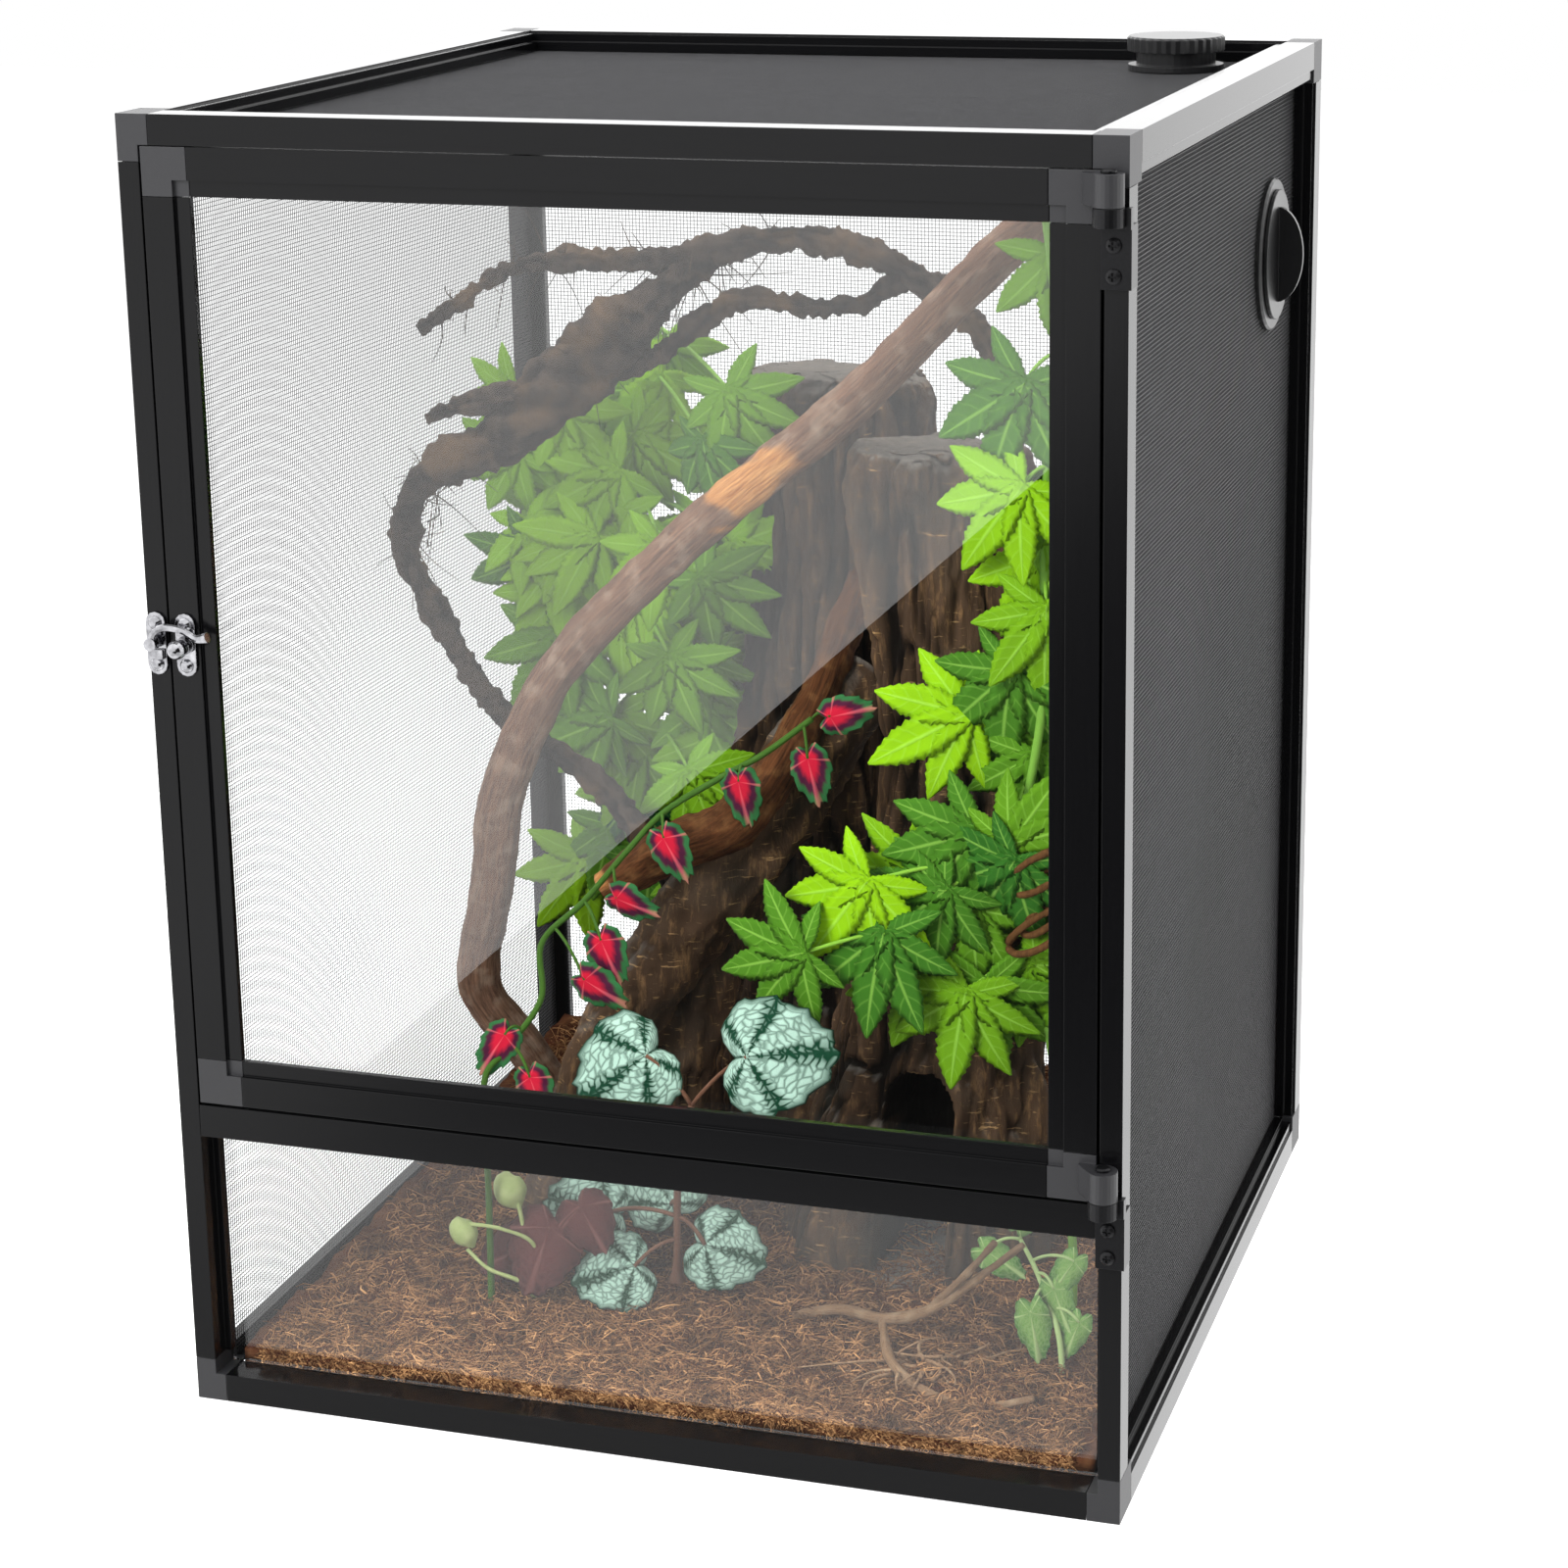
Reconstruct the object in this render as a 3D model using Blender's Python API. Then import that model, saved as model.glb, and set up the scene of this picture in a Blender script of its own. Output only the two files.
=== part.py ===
"""Tree frog terrarium: an aluminium and screen cage with a hinged clear door, furnished inside.

Metres, +Z up. The front faces -Y, the door's hinge is on the +X side and its latch on the -X side.
Lengths in the comments are in millimetres. The world origin is under the middle of the whole part.
"""
import math

import bmesh
import bpy
from mathutils import Vector

MM = 0.001

# Cage: outer size of the frame, and the clearance between pieces that touch
CAGE_W = 450 * MM
CAGE_D = 450 * MM
CAGE_H = 610 * MM
GAP = 0.3 * MM

# Frame extrusions: hollow bars with a stepped lip that the panels lie behind
WALL = 1.5 * MM
POST_FACE = 10 * MM
POST_SIDE = 15 * MM
RAIL_DEPTH = 15 * MM
RAIL_FACE = 13.5 * MM
LIP_SET = 1 * MM
LIP_W = 4.7 * MM
LEDGE_SET = 4.3 * MM
LEDGE_W = 2.5 * MM
MIDDLE_RAIL_Z = 135 * MM
MIDDLE_RAIL_FACE = 15.5 * MM

# Plastic connectors at the eight corners of the frame
LEG = 18 * MM

# Panels
MESH_T = 0.8 * MM
PANEL_SEAT = 1 * MM
BASE_T = 3 * MM
LOWER_PANE_T = 2.5 * MM
LOWER_PANE_LAP = 6 * MM

# Door: hollow stiles and rails with a bead in front of the pane
DOOR_T = 10.5 * MM
DOOR_FACE = 14.5 * MM
BEAD_W = 7.2 * MM
BEAD_SET = 2 * MM
BEAD_T = 3 * MM
DOOR_PANE_T = 3 * MM
DOOR_PANE_SIDE = 0.5 * MM
DOOR_GAP_TOP = 0.5 * MM
DOOR_GAP_BOTTOM = 1.5 * MM
DOOR_GAP_LATCH = 1 * MM
DOOR_GAP_HINGE = 1.5 * MM
DOOR_STOP_GAP = 0.5 * MM
DOOR_STOP_W = 3 * MM

# Hinges: the door's knuckle stands on the leaf's knuckle, both on one pin
KNUCKLE_R = 6.5 * MM
HINGE_INSET = 7 * MM
DOOR_KNUCKLE_H = 13.4 * MM
LEAF_KNUCKLE_H = 7.5 * MM
TOP_SEAM_DROP = 14 * MM
BOTTOM_SEAM_RISE = 4.5 * MM
LEAF_H = 26 * MM
LEAF_T = 3 * MM
LEAF_INSET = 11 * MM
LEAF_WRAP = 8 * MM
LEAF_WRAP_T = 1.5 * MM
PIN_R = 2.2 * MM
PIN_HEAD_R = 3.4 * MM
PIN_HEAD_T = 1.4 * MM
PIN_FLOOR = 1.5 * MM
SCREW_R = 1.5 * MM
SCREW_HEAD_R = 3.2 * MM
SCREW_HEAD_T = 1.6 * MM
SCREW_LENGTH = 7 * MM
SCREW_FIRST = 8 * MM
SCREW_SPACING = 12.6 * MM

# Swing latch at the left edge of the door
LATCH_Z = 373 * MM
PLATE_W = 9.6 * MM
PLATE_H = 29 * MM
PLATE_T = 1.2 * MM
KEEPER_INSET = 4.4 * MM
STUD_INSET = 8 * MM
DOME_R = 3.2 * MM
DOME_H = 1.8 * MM
DOME_SPACING = 19.2 * MM
BALL_R = 4.4 * MM
NECK_R = 2 * MM
STUD_BASE_R = 3.6 * MM
STUD_BASE_H = 1.8 * MM
HUB_T = 2.2 * MM
HUB_R = 3.9 * MM
ARM_R = 1.7 * MM
ARM_FORWARD = 1.5 * MM
ARM_BOSS_R = 3 * MM
ARM_RISE = 8.7 * MM
GRIP_R = 2.6 * MM
KEEPER_BLOCK_H = 4.5 * MM

# Ports
PORT_CLEAR = 0.4 * MM
SIDE_PORT_BACK = 84 * MM
SIDE_PORT_DROP = 100 * MM
SIDE_FLANGE_R = 38.2 * MM
SIDE_FLANGE_T = 2.7 * MM
SIDE_BARREL_R = 33 * MM
SIDE_BORE_R = 30 * MM
SIDE_BARREL_L = 10 * MM
SIDE_LID_R = 32.5 * MM
SIDE_LID_T = 1.8 * MM
SIDE_PLUG_L = 6 * MM
SIDE_PLUG_T = 2 * MM
FIN_L = 48 * MM
FIN_T = 3 * MM
FIN_RISE = 12.2 * MM
TOP_PORT_RIGHT = 62 * MM
TOP_PORT_BACK = 70 * MM
TOP_FLANGE_R = 24 * MM
TOP_FLANGE_T = 3 * MM
TOP_NECK_R = 20 * MM
TOP_NECK_DROP = 8 * MM
TOP_BORE_R = 17 * MM
TOP_CAP_R = 24.5 * MM
TOP_CAP_H = 7.4 * MM
TOP_CAP_RISE = 17 * MM
TOP_LID_T = 2.4 * MM

# Furnishing: its points are written for a cage of the layout size and spread with the cage
LAYOUT_W = 450 * MM
LAYOUT_D = 450 * MM
LAYOUT_H = 610 * MM
LAYOUT_FLOOR = 13.6 * MM
LAYOUT_LOW = 160 * MM
BED_CELLS = 16
BED_FRONT_T = 6 * MM
BED_BACK_T = 23 * MM
BED_LUMP = 1.5 * MM
LEAF_PLATE_T = 1.2 * MM
STEM_R = 2.2 * MM
PETIOLE_R = 1 * MM
HOLLOW_HALF_W = 19 * MM
HOLLOW_SILL = 24 * MM
HOLLOW_TOP = 125 * MM

# Places that follow from the sizes above, in the cage's own frame with its origin under the cage
HALF_W = CAGE_W / 2
HALF_D = CAGE_D / 2
LIP_REACH = LIP_W + LEDGE_W
PANEL_OUT = POST_FACE + GAP
CORNER_Y = POST_SIDE + LIP_REACH
CORNER_Z = RAIL_FACE + LIP_REACH
SIDE_CUT = RAIL_DEPTH + PANEL_SEAT
PANE_FRONT = RAIL_DEPTH + GAP
BED_FRONT = PANE_FRONT + LOWER_PANE_T + GAP
FLOOR_Z = PANEL_OUT + BASE_T + GAP
DOOR_STOP = DOOR_T + DOOR_STOP_GAP
DOOR_LEFT = -HALF_W + POST_FACE + DOOR_GAP_LATCH
DOOR_RIGHT = HALF_W - POST_FACE - DOOR_GAP_HINGE
DOOR_BOTTOM = MIDDLE_RAIL_Z + MIDDLE_RAIL_FACE + DOOR_GAP_BOTTOM
DOOR_TOP = CAGE_H - RAIL_FACE - DOOR_GAP_TOP
DOOR_CORNER = DOOR_FACE + BEAD_W
HINGE_X = HALF_W - HINGE_INSET
HINGE_Y = -(HALF_D + GAP + KNUCKLE_R)
TOP_SEAM = DOOR_TOP - TOP_SEAM_DROP
BOTTOM_SEAM = DOOR_BOTTOM + BOTTOM_SEAM_RISE
KEEPER_X = -HALF_W + KEEPER_INSET
STUD_X = DOOR_LEFT + STUD_INSET
PLATE_OUT = GAP + PLATE_T
HUB_BACK = PLATE_OUT + STUD_BASE_H + GAP
ARM_OUT = HUB_BACK + HUB_T / 2 + ARM_FORWARD
BALL_BACK = HUB_BACK + HUB_T + GAP
BALL_OUT = BALL_BACK + math.sqrt(BALL_R ** 2 - NECK_R ** 2)
SIDE_RING_X = HALF_W - POST_FACE
SIDE_LID_X = SIDE_RING_X + SIDE_FLANGE_T + GAP
SIDE_PORT_Y = HALF_D - SIDE_PORT_BACK
SIDE_PORT_Z = CAGE_H - SIDE_PORT_DROP
TOP_RING_Z = CAGE_H - POST_FACE
TOP_PORT_X = HALF_W - TOP_PORT_RIGHT
TOP_PORT_Y = HALF_D - TOP_PORT_BACK
FRONT_REACH = max(BALL_OUT + BALL_R, GAP + 2 * KNUCKLE_R)
LEFT_REACH = max(PLATE_W / 2 - KEEPER_INSET, 0)
RIGHT_REACH = max(SIDE_LID_X + SIDE_LID_T + FIN_RISE - HALF_W, GAP + LEAF_WRAP_T)

X = Vector((1, 0, 0))
Y = Vector((0, 1, 0))
Z = Vector((0, 0, 1))
HOME = {}

for leftover in list(bpy.data.objects):
    bpy.data.objects.remove(leftover, do_unlink=True)


def empty(name, place, parent=None):
    """An empty at a place of the cage's frame; pieces hang on it."""
    holder = bpy.data.objects.new(name, None)
    bpy.context.scene.collection.objects.link(holder)
    holder.parent = parent
    holder.location = place - HOME[parent.name] if parent else place
    HOME[name] = place if parent else Vector((0, 0, 0))
    return holder


def finish(name, colour, roughness, metallic=0.0, alpha=1.0):
    """A plain Principled material."""
    made = bpy.data.materials.new(name)
    made.use_nodes = True
    shader = made.node_tree.nodes["Principled BSDF"]
    shader.inputs["Base Color"].default_value = (*colour, 1.0)
    shader.inputs["Roughness"].default_value = roughness
    shader.inputs["Metallic"].default_value = metallic
    shader.inputs["Alpha"].default_value = alpha
    return made


CAGE = empty("cage", Vector(((LEFT_REACH - RIGHT_REACH) / 2, FRONT_REACH / 2, 0)))
DOOR_AXIS = empty("door_axis", Vector((HINGE_X, HINGE_Y, 0)), CAGE)
ARM_AXIS = empty("latch_arm_axis", Vector((STUD_X, -HALF_D - HUB_BACK, LATCH_Z)), DOOR_AXIS)
SIDE_CAP_AXIS = empty("side_port_axis", Vector((SIDE_RING_X, SIDE_PORT_Y, SIDE_PORT_Z)), CAGE)
TOP_CAP_AXIS = empty("top_port_axis", Vector((TOP_PORT_X, TOP_PORT_Y, TOP_RING_Z)), CAGE)

ALUMINIUM = finish("black_anodised", (0.012, 0.012, 0.013), 0.38, 0.6)
CONNECTOR = finish("connector_plastic", (0.06, 0.06, 0.062), 0.5)
SCREEN = finish("black_screen", (0.02, 0.02, 0.022), 0.7)
CLEAR = finish("clear_pane", (0.9, 0.92, 0.92), 0.05, 0.0, 0.3)
SHEET = finish("base_sheet", (0.03, 0.03, 0.03), 0.6)
STEEL = finish("black_steel", (0.02, 0.02, 0.02), 0.35, 0.9)
CHROME = finish("chrome", (0.75, 0.75, 0.76), 0.08, 1.0)
PORT = finish("port_plastic", (0.03, 0.03, 0.032), 0.42)
FIBRE = finish("coconut_fibre", (0.22, 0.10, 0.05), 0.95)
BARK = finish("bark", (0.05, 0.035, 0.025), 0.85)
WOOD = finish("branch_wood", (0.17, 0.09, 0.05), 0.8)
VINE = finish("twisted_vine", (0.06, 0.04, 0.035), 0.9)
GREEN = finish("silk_leaf", (0.06, 0.35, 0.03), 0.6)
SILVER = finish("silver_leaf", (0.25, 0.4, 0.3), 0.6)
RED = finish("red_leaf", (0.35, 0.03, 0.05), 0.6)


def add(name, shape, material=None, parent=CAGE):
    """Put a shape, drawn in the cage's frame, into the scene; without a material it is a guide."""
    bmesh.ops.translate(shape, verts=shape.verts, vec=-HOME[parent.name])
    bmesh.ops.recalc_face_normals(shape, faces=shape.faces)
    mesh = bpy.data.meshes.new(name)
    shape.to_mesh(mesh)
    shape.free()
    piece = bpy.data.objects.new(name, mesh)
    bpy.context.scene.collection.objects.link(piece)
    piece.parent = parent
    if material:
        mesh.materials.append(material)
    else:
        piece.hide_render = True
        piece.display_type = "WIRE"
    return piece


def combine(piece, guide, operation, overlapping=False):
    """Join a guide to a piece, or cut it out."""
    step = piece.modifiers.new(guide.name, "BOOLEAN")
    step.operation = operation
    step.object = guide
    step.solver = "EXACT"
    step.use_self = overlapping


def together(*shapes):
    """Several closed shapes in one bmesh."""
    whole = bmesh.new()
    for shape in shapes:
        bmesh.ops.recalc_face_normals(shape, faces=shape.faces)
        mesh = bpy.data.meshes.new("shape")
        shape.to_mesh(mesh)
        shape.free()
        whole.from_mesh(mesh)
        bpy.data.meshes.remove(mesh)
    return whole


def swept(outline, start, along, a, b, hollow=None):
    """A closed solid: an outline in the directions a and b from start, swept along a vector."""
    shape = bmesh.new()
    edges = []
    for loop in [outline, hollow] if hollow else [outline]:
        corners = [shape.verts.new(start + a * u + b * v) for u, v in loop]
        edges += [shape.edges.new((corners[i - 1], corners[i])) for i in range(len(corners))]
    filled = bmesh.ops.triangle_fill(shape, use_beauty=True, edges=edges)
    faces = [item for item in filled["geom"] if isinstance(item, bmesh.types.BMFace)]
    raised = bmesh.ops.extrude_face_region(shape, geom=faces)
    corners = [item for item in raised["geom"] if isinstance(item, bmesh.types.BMVert)]
    bmesh.ops.translate(shape, verts=corners, vec=along)
    return shape


def rectangle(a0, a1, b0, b1):
    """The corners of a rectangle, for an outline."""
    return [(a0, b0), (a1, b0), (a1, b1), (a0, b1)]


def circle(centre_a, centre_b, radius, sides):
    """The corners of a circle, for an outline."""
    turns = [math.tau * i / sides for i in range(sides)]
    return [(centre_a + radius * math.cos(t), centre_b + radius * math.sin(t)) for t in turns]


def stadium(width, height, steps=6):
    """The outline of an upright plate with round ends."""
    radius = width / 2
    rise = height / 2 - radius
    turns = [math.pi * i / steps for i in range(steps + 1)]
    top = [(radius * math.cos(t), rise + radius * math.sin(t)) for t in turns]
    return top + [(-u, -v) for u, v in top]


def block(low, high):
    """A box between two corners."""
    low = Vector(low)
    high = Vector(high)
    outline = rectangle(0, high.x - low.x, 0, high.y - low.y)
    return swept(outline, low, Z * (high.z - low.z), X, Y)


def loft(rings, middles=None):
    """A closed solid through rings of points, with fans at its two ends."""
    middles = middles or [sum(ring, Vector()) / len(ring) for ring in (rings[0], rings[-1])]
    shape = bmesh.new()
    loops = [[shape.verts.new(point) for point in ring] for ring in rings]
    count = len(rings[0])
    for low, high in zip(loops, loops[1:]):
        for i in range(count):
            j = (i + 1) % count
            shape.faces.new((low[i], low[j], high[j]))
            shape.faces.new((low[i], high[j], high[i]))
    for loop, point in zip((loops[0], loops[-1]), middles):
        middle = shape.verts.new(point)
        for i in range(count):
            shape.faces.new((loop[i - 1], loop[i], middle))
    return shape


def turned(profile, centre, axis, side, sides, ribs=()):
    """A closed solid turned about an axis; a profile off the axis at both ends makes a ring.

    The profile is a list of (radius, height). Points listed in ribs lose a little on every other side.
    """
    shape = bmesh.new()
    other = axis.cross(side)
    closed = profile[0][0] > 0
    loops = []
    for index, (radius, height) in enumerate(profile):
        base = centre + axis * height
        if radius == 0:
            loops.append([shape.verts.new(base)] * sides)
            continue
        ring = []
        for i in range(sides):
            turn = math.tau * i / sides
            cut = ribs[1] if ribs and index in ribs[0] and i % 2 else 0
            reach = radius - cut
            ring.append(shape.verts.new(base + side * (reach * math.cos(turn)) + other * (reach * math.sin(turn))))
        loops.append(ring)
    pairs = list(zip(loops, loops[1:])) + ([(loops[-1], loops[0])] if closed else [])
    for low, high in pairs:
        for i in range(sides):
            j = (i + 1) % sides
            corners = list(dict.fromkeys((low[i], low[j], high[j], high[i])))
            shape.faces.new(corners)
    return shape


def hollowed(boxes, origin, dx, dy, dz):
    """One closed solid: the union of boxes ((x0, x1), (y0, y1), (z0, z1)) along three directions."""
    cuts = [sorted({value for box in boxes for value in box[axis]}) for axis in range(3)]
    middles = [[(p + q) / 2 for p, q in zip(line, line[1:])] for line in cuts]

    def solid(i, j, k):
        cell = (i, j, k)
        if any(not 0 <= cell[axis] < len(middles[axis]) for axis in range(3)):
            return False
        spot = [middles[axis][cell[axis]] for axis in range(3)]
        return any(all(box[n][0] < spot[n] < box[n][1] for n in range(3)) for box in boxes)

    shape = bmesh.new()
    corners = {}

    def corner(i, j, k):
        if (i, j, k) not in corners:
            place = origin + dx * cuts[0][i] + dy * cuts[1][j] + dz * cuts[2][k]
            corners[(i, j, k)] = shape.verts.new(place)
        return corners[(i, j, k)]

    for i in range(len(middles[0])):
        for j in range(len(middles[1])):
            for k in range(len(middles[2])):
                if not solid(i, j, k):
                    continue
                for step in (0, 1):
                    way = 2 * step - 1
                    if not solid(i + way, j, k):
                        loop = [(i + step, j, k), (i + step, j + 1, k), (i + step, j + 1, k + 1), (i + step, j, k + 1)]
                        shape.faces.new([corner(*at) for at in loop])
                    if not solid(i, j + way, k):
                        loop = [(i, j + step, k), (i + 1, j + step, k), (i + 1, j + step, k + 1), (i, j + step, k + 1)]
                        shape.faces.new([corner(*at) for at in loop])
                    if not solid(i, j, k + way):
                        loop = [(i, j, k + step), (i + 1, j, k + step), (i + 1, j + 1, k + step), (i, j + 1, k + step)]
                        shape.faces.new([corner(*at) for at in loop])
    bmesh.ops.recalc_face_normals(shape, faces=shape.faces)
    bmesh.ops.dissolve_limit(shape, angle_limit=0.02, verts=shape.verts, edges=shape.edges)
    return shape


def smooth_path(stations, steps):
    """Stations (x, y, z, radius) with curved steps between them."""
    path = []
    last = len(stations) - 1
    for i in range(last):
        before = stations[max(i - 1, 0)]
        here = stations[i]
        there = stations[i + 1]
        after = stations[min(i + 2, last)]
        for step in range(steps):
            t = step / steps
            point = []
            for p, q, r, s in zip(before, here, there, after):
                point.append(q + 0.5 * t * (r - p + t * (2 * p - 5 * q + 4 * r - s + t * (3 * (q - r) + s - p))))
            path.append(point)
    path.append(list(stations[last]))
    return path


def tube(stations, sides=7, steps=3, grow=0.0):
    """A round tube through stations, with a transported frame and fan ends."""
    path = smooth_path(stations, steps)
    centres = [Vector(point[:3]) for point in path]
    last = len(path) - 1
    side = None
    rings = []
    for i, centre in enumerate(centres):
        run = (centres[min(i + 1, last)] - centres[max(i - 1, 0)]).normalized()
        side = run.orthogonal() if side is None else side
        side = (side - run * side.dot(run)).normalized()
        other = run.cross(side)
        radius = path[i][3] + grow
        middle = centre + run * (grow * ((i == last) - (i == 0)))
        turns = [math.tau * k / sides for k in range(sides)]
        rings.append([middle + side * (radius * math.cos(t)) + other * (radius * math.sin(t)) for t in turns])
    return loft(rings)


# Corner posts: hollow extrusions; the front pair also carries the door stop
def post_outline(front):
    """The section of a post: a is its face seen from the front, b its side."""
    step = LIP_SET + LEDGE_SET
    corners = [(0, 0), (POST_FACE, 0)]
    if front:
        reach = POST_FACE + DOOR_STOP_W
        corners += [(POST_FACE, DOOR_STOP), (reach, DOOR_STOP), (reach, POST_SIDE), (POST_FACE, POST_SIDE)]
    else:
        lip = POST_FACE + LIP_W
        ledge = POST_FACE + LIP_REACH
        corners += [(POST_FACE, LIP_SET), (lip, LIP_SET), (lip, step), (ledge, step)]
        corners += [(ledge, POST_FACE), (POST_FACE, POST_FACE)]
    lip = POST_SIDE + LIP_W
    ledge = POST_SIDE + LIP_REACH
    corners += [(POST_FACE, ledge), (step, ledge), (step, lip), (LIP_SET, lip)]
    return corners + [(LIP_SET, POST_SIDE), (0, POST_SIDE)]


def rail_outline(lip_a, lip_b):
    """The section of a rail: a is its depth, b its face."""
    step = LIP_SET + LEDGE_SET
    corners = [(0, 0), (RAIL_DEPTH, 0)]
    if lip_a:
        lip = RAIL_DEPTH + LIP_W
        ledge = RAIL_DEPTH + LIP_REACH
        corners += [(RAIL_DEPTH, LIP_SET), (lip, LIP_SET), (lip, step), (ledge, step)]
        corners += [(ledge, POST_FACE), (RAIL_DEPTH, POST_FACE)]
    corners += [(RAIL_DEPTH, RAIL_FACE)]
    if lip_b:
        lip = RAIL_FACE + LIP_W
        ledge = RAIL_FACE + LIP_REACH
        corners += [(POST_FACE, RAIL_FACE), (POST_FACE, ledge), (step, ledge), (step, lip)]
        corners += [(LIP_SET, lip), (LIP_SET, RAIL_FACE)]
    return corners + [(0, RAIL_FACE)]


POST_HOLLOW = rectangle(WALL, POST_FACE - WALL, WALL, POST_SIDE - WALL)
RAIL_HOLLOW = rectangle(WALL, RAIL_DEPTH - WALL, WALL, RAIL_FACE - WALL)
POST_START = CORNER_Z + GAP
POST_RUN = CAGE_H - 2 * POST_START
SIDE_NAMES = {-1: "left", 1: "right"}
END_NAMES = {-1: "front", 1: "back"}
LEVEL_NAMES = {-1: "bottom", 1: "top"}
posts = {}

for sx in (-1, 1):
    for sy in (-1, 1):
        corner = Vector((sx * HALF_W, sy * HALF_D, POST_START))
        outline = post_outline(sy < 0)
        shape = swept(outline, corner, Z * POST_RUN, X * -sx, Y * -sy, POST_HOLLOW)
        posts[(sx, sy)] = add(f"post_{END_NAMES[sy]}_{SIDE_NAMES[sx]}", shape, ALUMINIUM)

# Rails: top and bottom, along both sides and along the front and back
for sz in (-1, 1):
    level = CAGE_H if sz > 0 else 0
    for sy in (-1, 1):
        start = Vector((-HALF_W + RAIL_DEPTH + GAP, sy * HALF_D, level))
        run = X * (CAGE_W - 2 * (RAIL_DEPTH + GAP))
        shape = swept(rail_outline(True, sy > 0), start, run, Y * -sy, Z * -sz, RAIL_HOLLOW)
        add(f"rail_{LEVEL_NAMES[sz]}_{END_NAMES[sy]}", shape, ALUMINIUM)
    for sx in (-1, 1):
        start = Vector((sx * HALF_W, -HALF_D + CORNER_Y + GAP, level))
        run = Y * (CAGE_D - 2 * (CORNER_Y + GAP))
        shape = swept(rail_outline(True, True), start, run, X * -sx, Z * -sz, RAIL_HOLLOW)
        add(f"rail_{LEVEL_NAMES[sz]}_{SIDE_NAMES[sx]}", shape, ALUMINIUM)

# Middle rail under the door, notched at both ends round the posts' door stops
rail_left = -HALF_W + POST_FACE + GAP
start = Vector((rail_left, -HALF_D, MIDDLE_RAIL_Z))
hollow = rectangle(WALL, RAIL_DEPTH - WALL, WALL, MIDDLE_RAIL_FACE - WALL)
shape = swept(rectangle(0, RAIL_DEPTH, 0, MIDDLE_RAIL_FACE), start, X * (-2 * rail_left), Y, Z, hollow)
middle_rail = add("middle_rail", shape, ALUMINIUM)
notches = []
for sx in (-1, 1):
    inner = sx * (-rail_left - DOOR_STOP_W)
    outer = sx * (HALF_W - POST_FACE + WALL)
    low = (min(inner, outer), -HALF_D + DOOR_STOP - GAP, MIDDLE_RAIL_Z - WALL)
    high = (max(inner, outer), -HALF_D + RAIL_DEPTH + WALL, MIDDLE_RAIL_Z + MIDDLE_RAIL_FACE + WALL)
    notches.append(block(low, high))
combine(middle_rail, add("middle_rail_notches", together(*notches)), "DIFFERENCE")

# Corner connectors: an outer elbow with three legs that plug into the hollow bars
INNER = WALL + GAP
for sx in (-1, 1):
    for sy in (-1, 1):
        for sz in (-1, 1):
            boxes = [((0, RAIL_DEPTH), (0, CORNER_Y), (0, RAIL_FACE)), ((0, POST_FACE), (0, CORNER_Y), (0, CORNER_Z))]
            if sy > 0:
                boxes.append(((0, RAIL_DEPTH), (0, POST_FACE), (0, CORNER_Z)))
            across = (INNER, RAIL_DEPTH - INNER)
            down = (INNER, RAIL_FACE - INNER)
            boxes.append(((RAIL_FACE, RAIL_DEPTH + LEG), across, down))
            boxes.append((across, (RAIL_DEPTH, CORNER_Y + LEG), down))
            boxes.append(((INNER, POST_FACE - INNER), (INNER, POST_SIDE - INNER), (RAIL_FACE, CORNER_Z + LEG)))
            corner = Vector((sx * HALF_W, sy * HALF_D, CAGE_H if sz > 0 else 0))
            shape = hollowed(boxes, corner, X * -sx, Y * -sy, Z * -sz)
            add(f"connector_{LEVEL_NAMES[sz]}_{END_NAMES[sy]}_{SIDE_NAMES[sx]}", shape, CONNECTOR)

# Screen panels, behind the lips; two of them have a hole for a port
HALF_PANEL_X = HALF_W - SIDE_CUT
HALF_PANEL_Y = HALF_D - SIDE_CUT
PANEL_LOW = RAIL_FACE + PANEL_SEAT
PANEL_HIGH = CAGE_H - PANEL_LOW
side_face = rectangle(-HALF_PANEL_Y, HALF_PANEL_Y, PANEL_LOW, PANEL_HIGH)
side_hole = circle(SIDE_PORT_Y, SIDE_PORT_Z, SIDE_BARREL_R + PORT_CLEAR, 36)
back_face = rectangle(-HALF_PANEL_X, HALF_PANEL_X, PANEL_LOW, PANEL_HIGH)
top_face = rectangle(-HALF_PANEL_X, HALF_PANEL_X, -HALF_PANEL_Y, HALF_PANEL_Y)
top_hole = circle(TOP_PORT_X, TOP_PORT_Y, TOP_NECK_R + PORT_CLEAR, 40)
panel_x = HALF_W - PANEL_OUT
add("mesh_left", swept(side_face, X * -panel_x, X * MESH_T, Y, Z), SCREEN)
add("mesh_right", swept(side_face, X * panel_x, X * -MESH_T, Y, Z, side_hole), SCREEN)
add("mesh_back", swept(back_face, Y * (HALF_D - PANEL_OUT), Y * -MESH_T, X, Z), SCREEN)
add("mesh_top", swept(top_face, Z * (CAGE_H - PANEL_OUT), Z * -MESH_T, X, Y, top_hole), SCREEN)

# Base panel on the bottom rails' ledges, and the fixed pane below the door
low = (-HALF_PANEL_X, -HALF_PANEL_Y, PANEL_OUT)
add("base_panel", block(low, (HALF_PANEL_X, HALF_PANEL_Y, PANEL_OUT + BASE_T)), SHEET)
pane_x = HALF_W - POST_FACE - PANEL_SEAT / 2 - LIP_SET
pane_y = -HALF_D + PANE_FRONT
low = (-pane_x, pane_y, RAIL_FACE + GAP)
high = (pane_x, pane_y + LOWER_PANE_T, MIDDLE_RAIL_Z + LOWER_PANE_LAP)
add("lower_pane", block(low, high), CLEAR)

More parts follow.
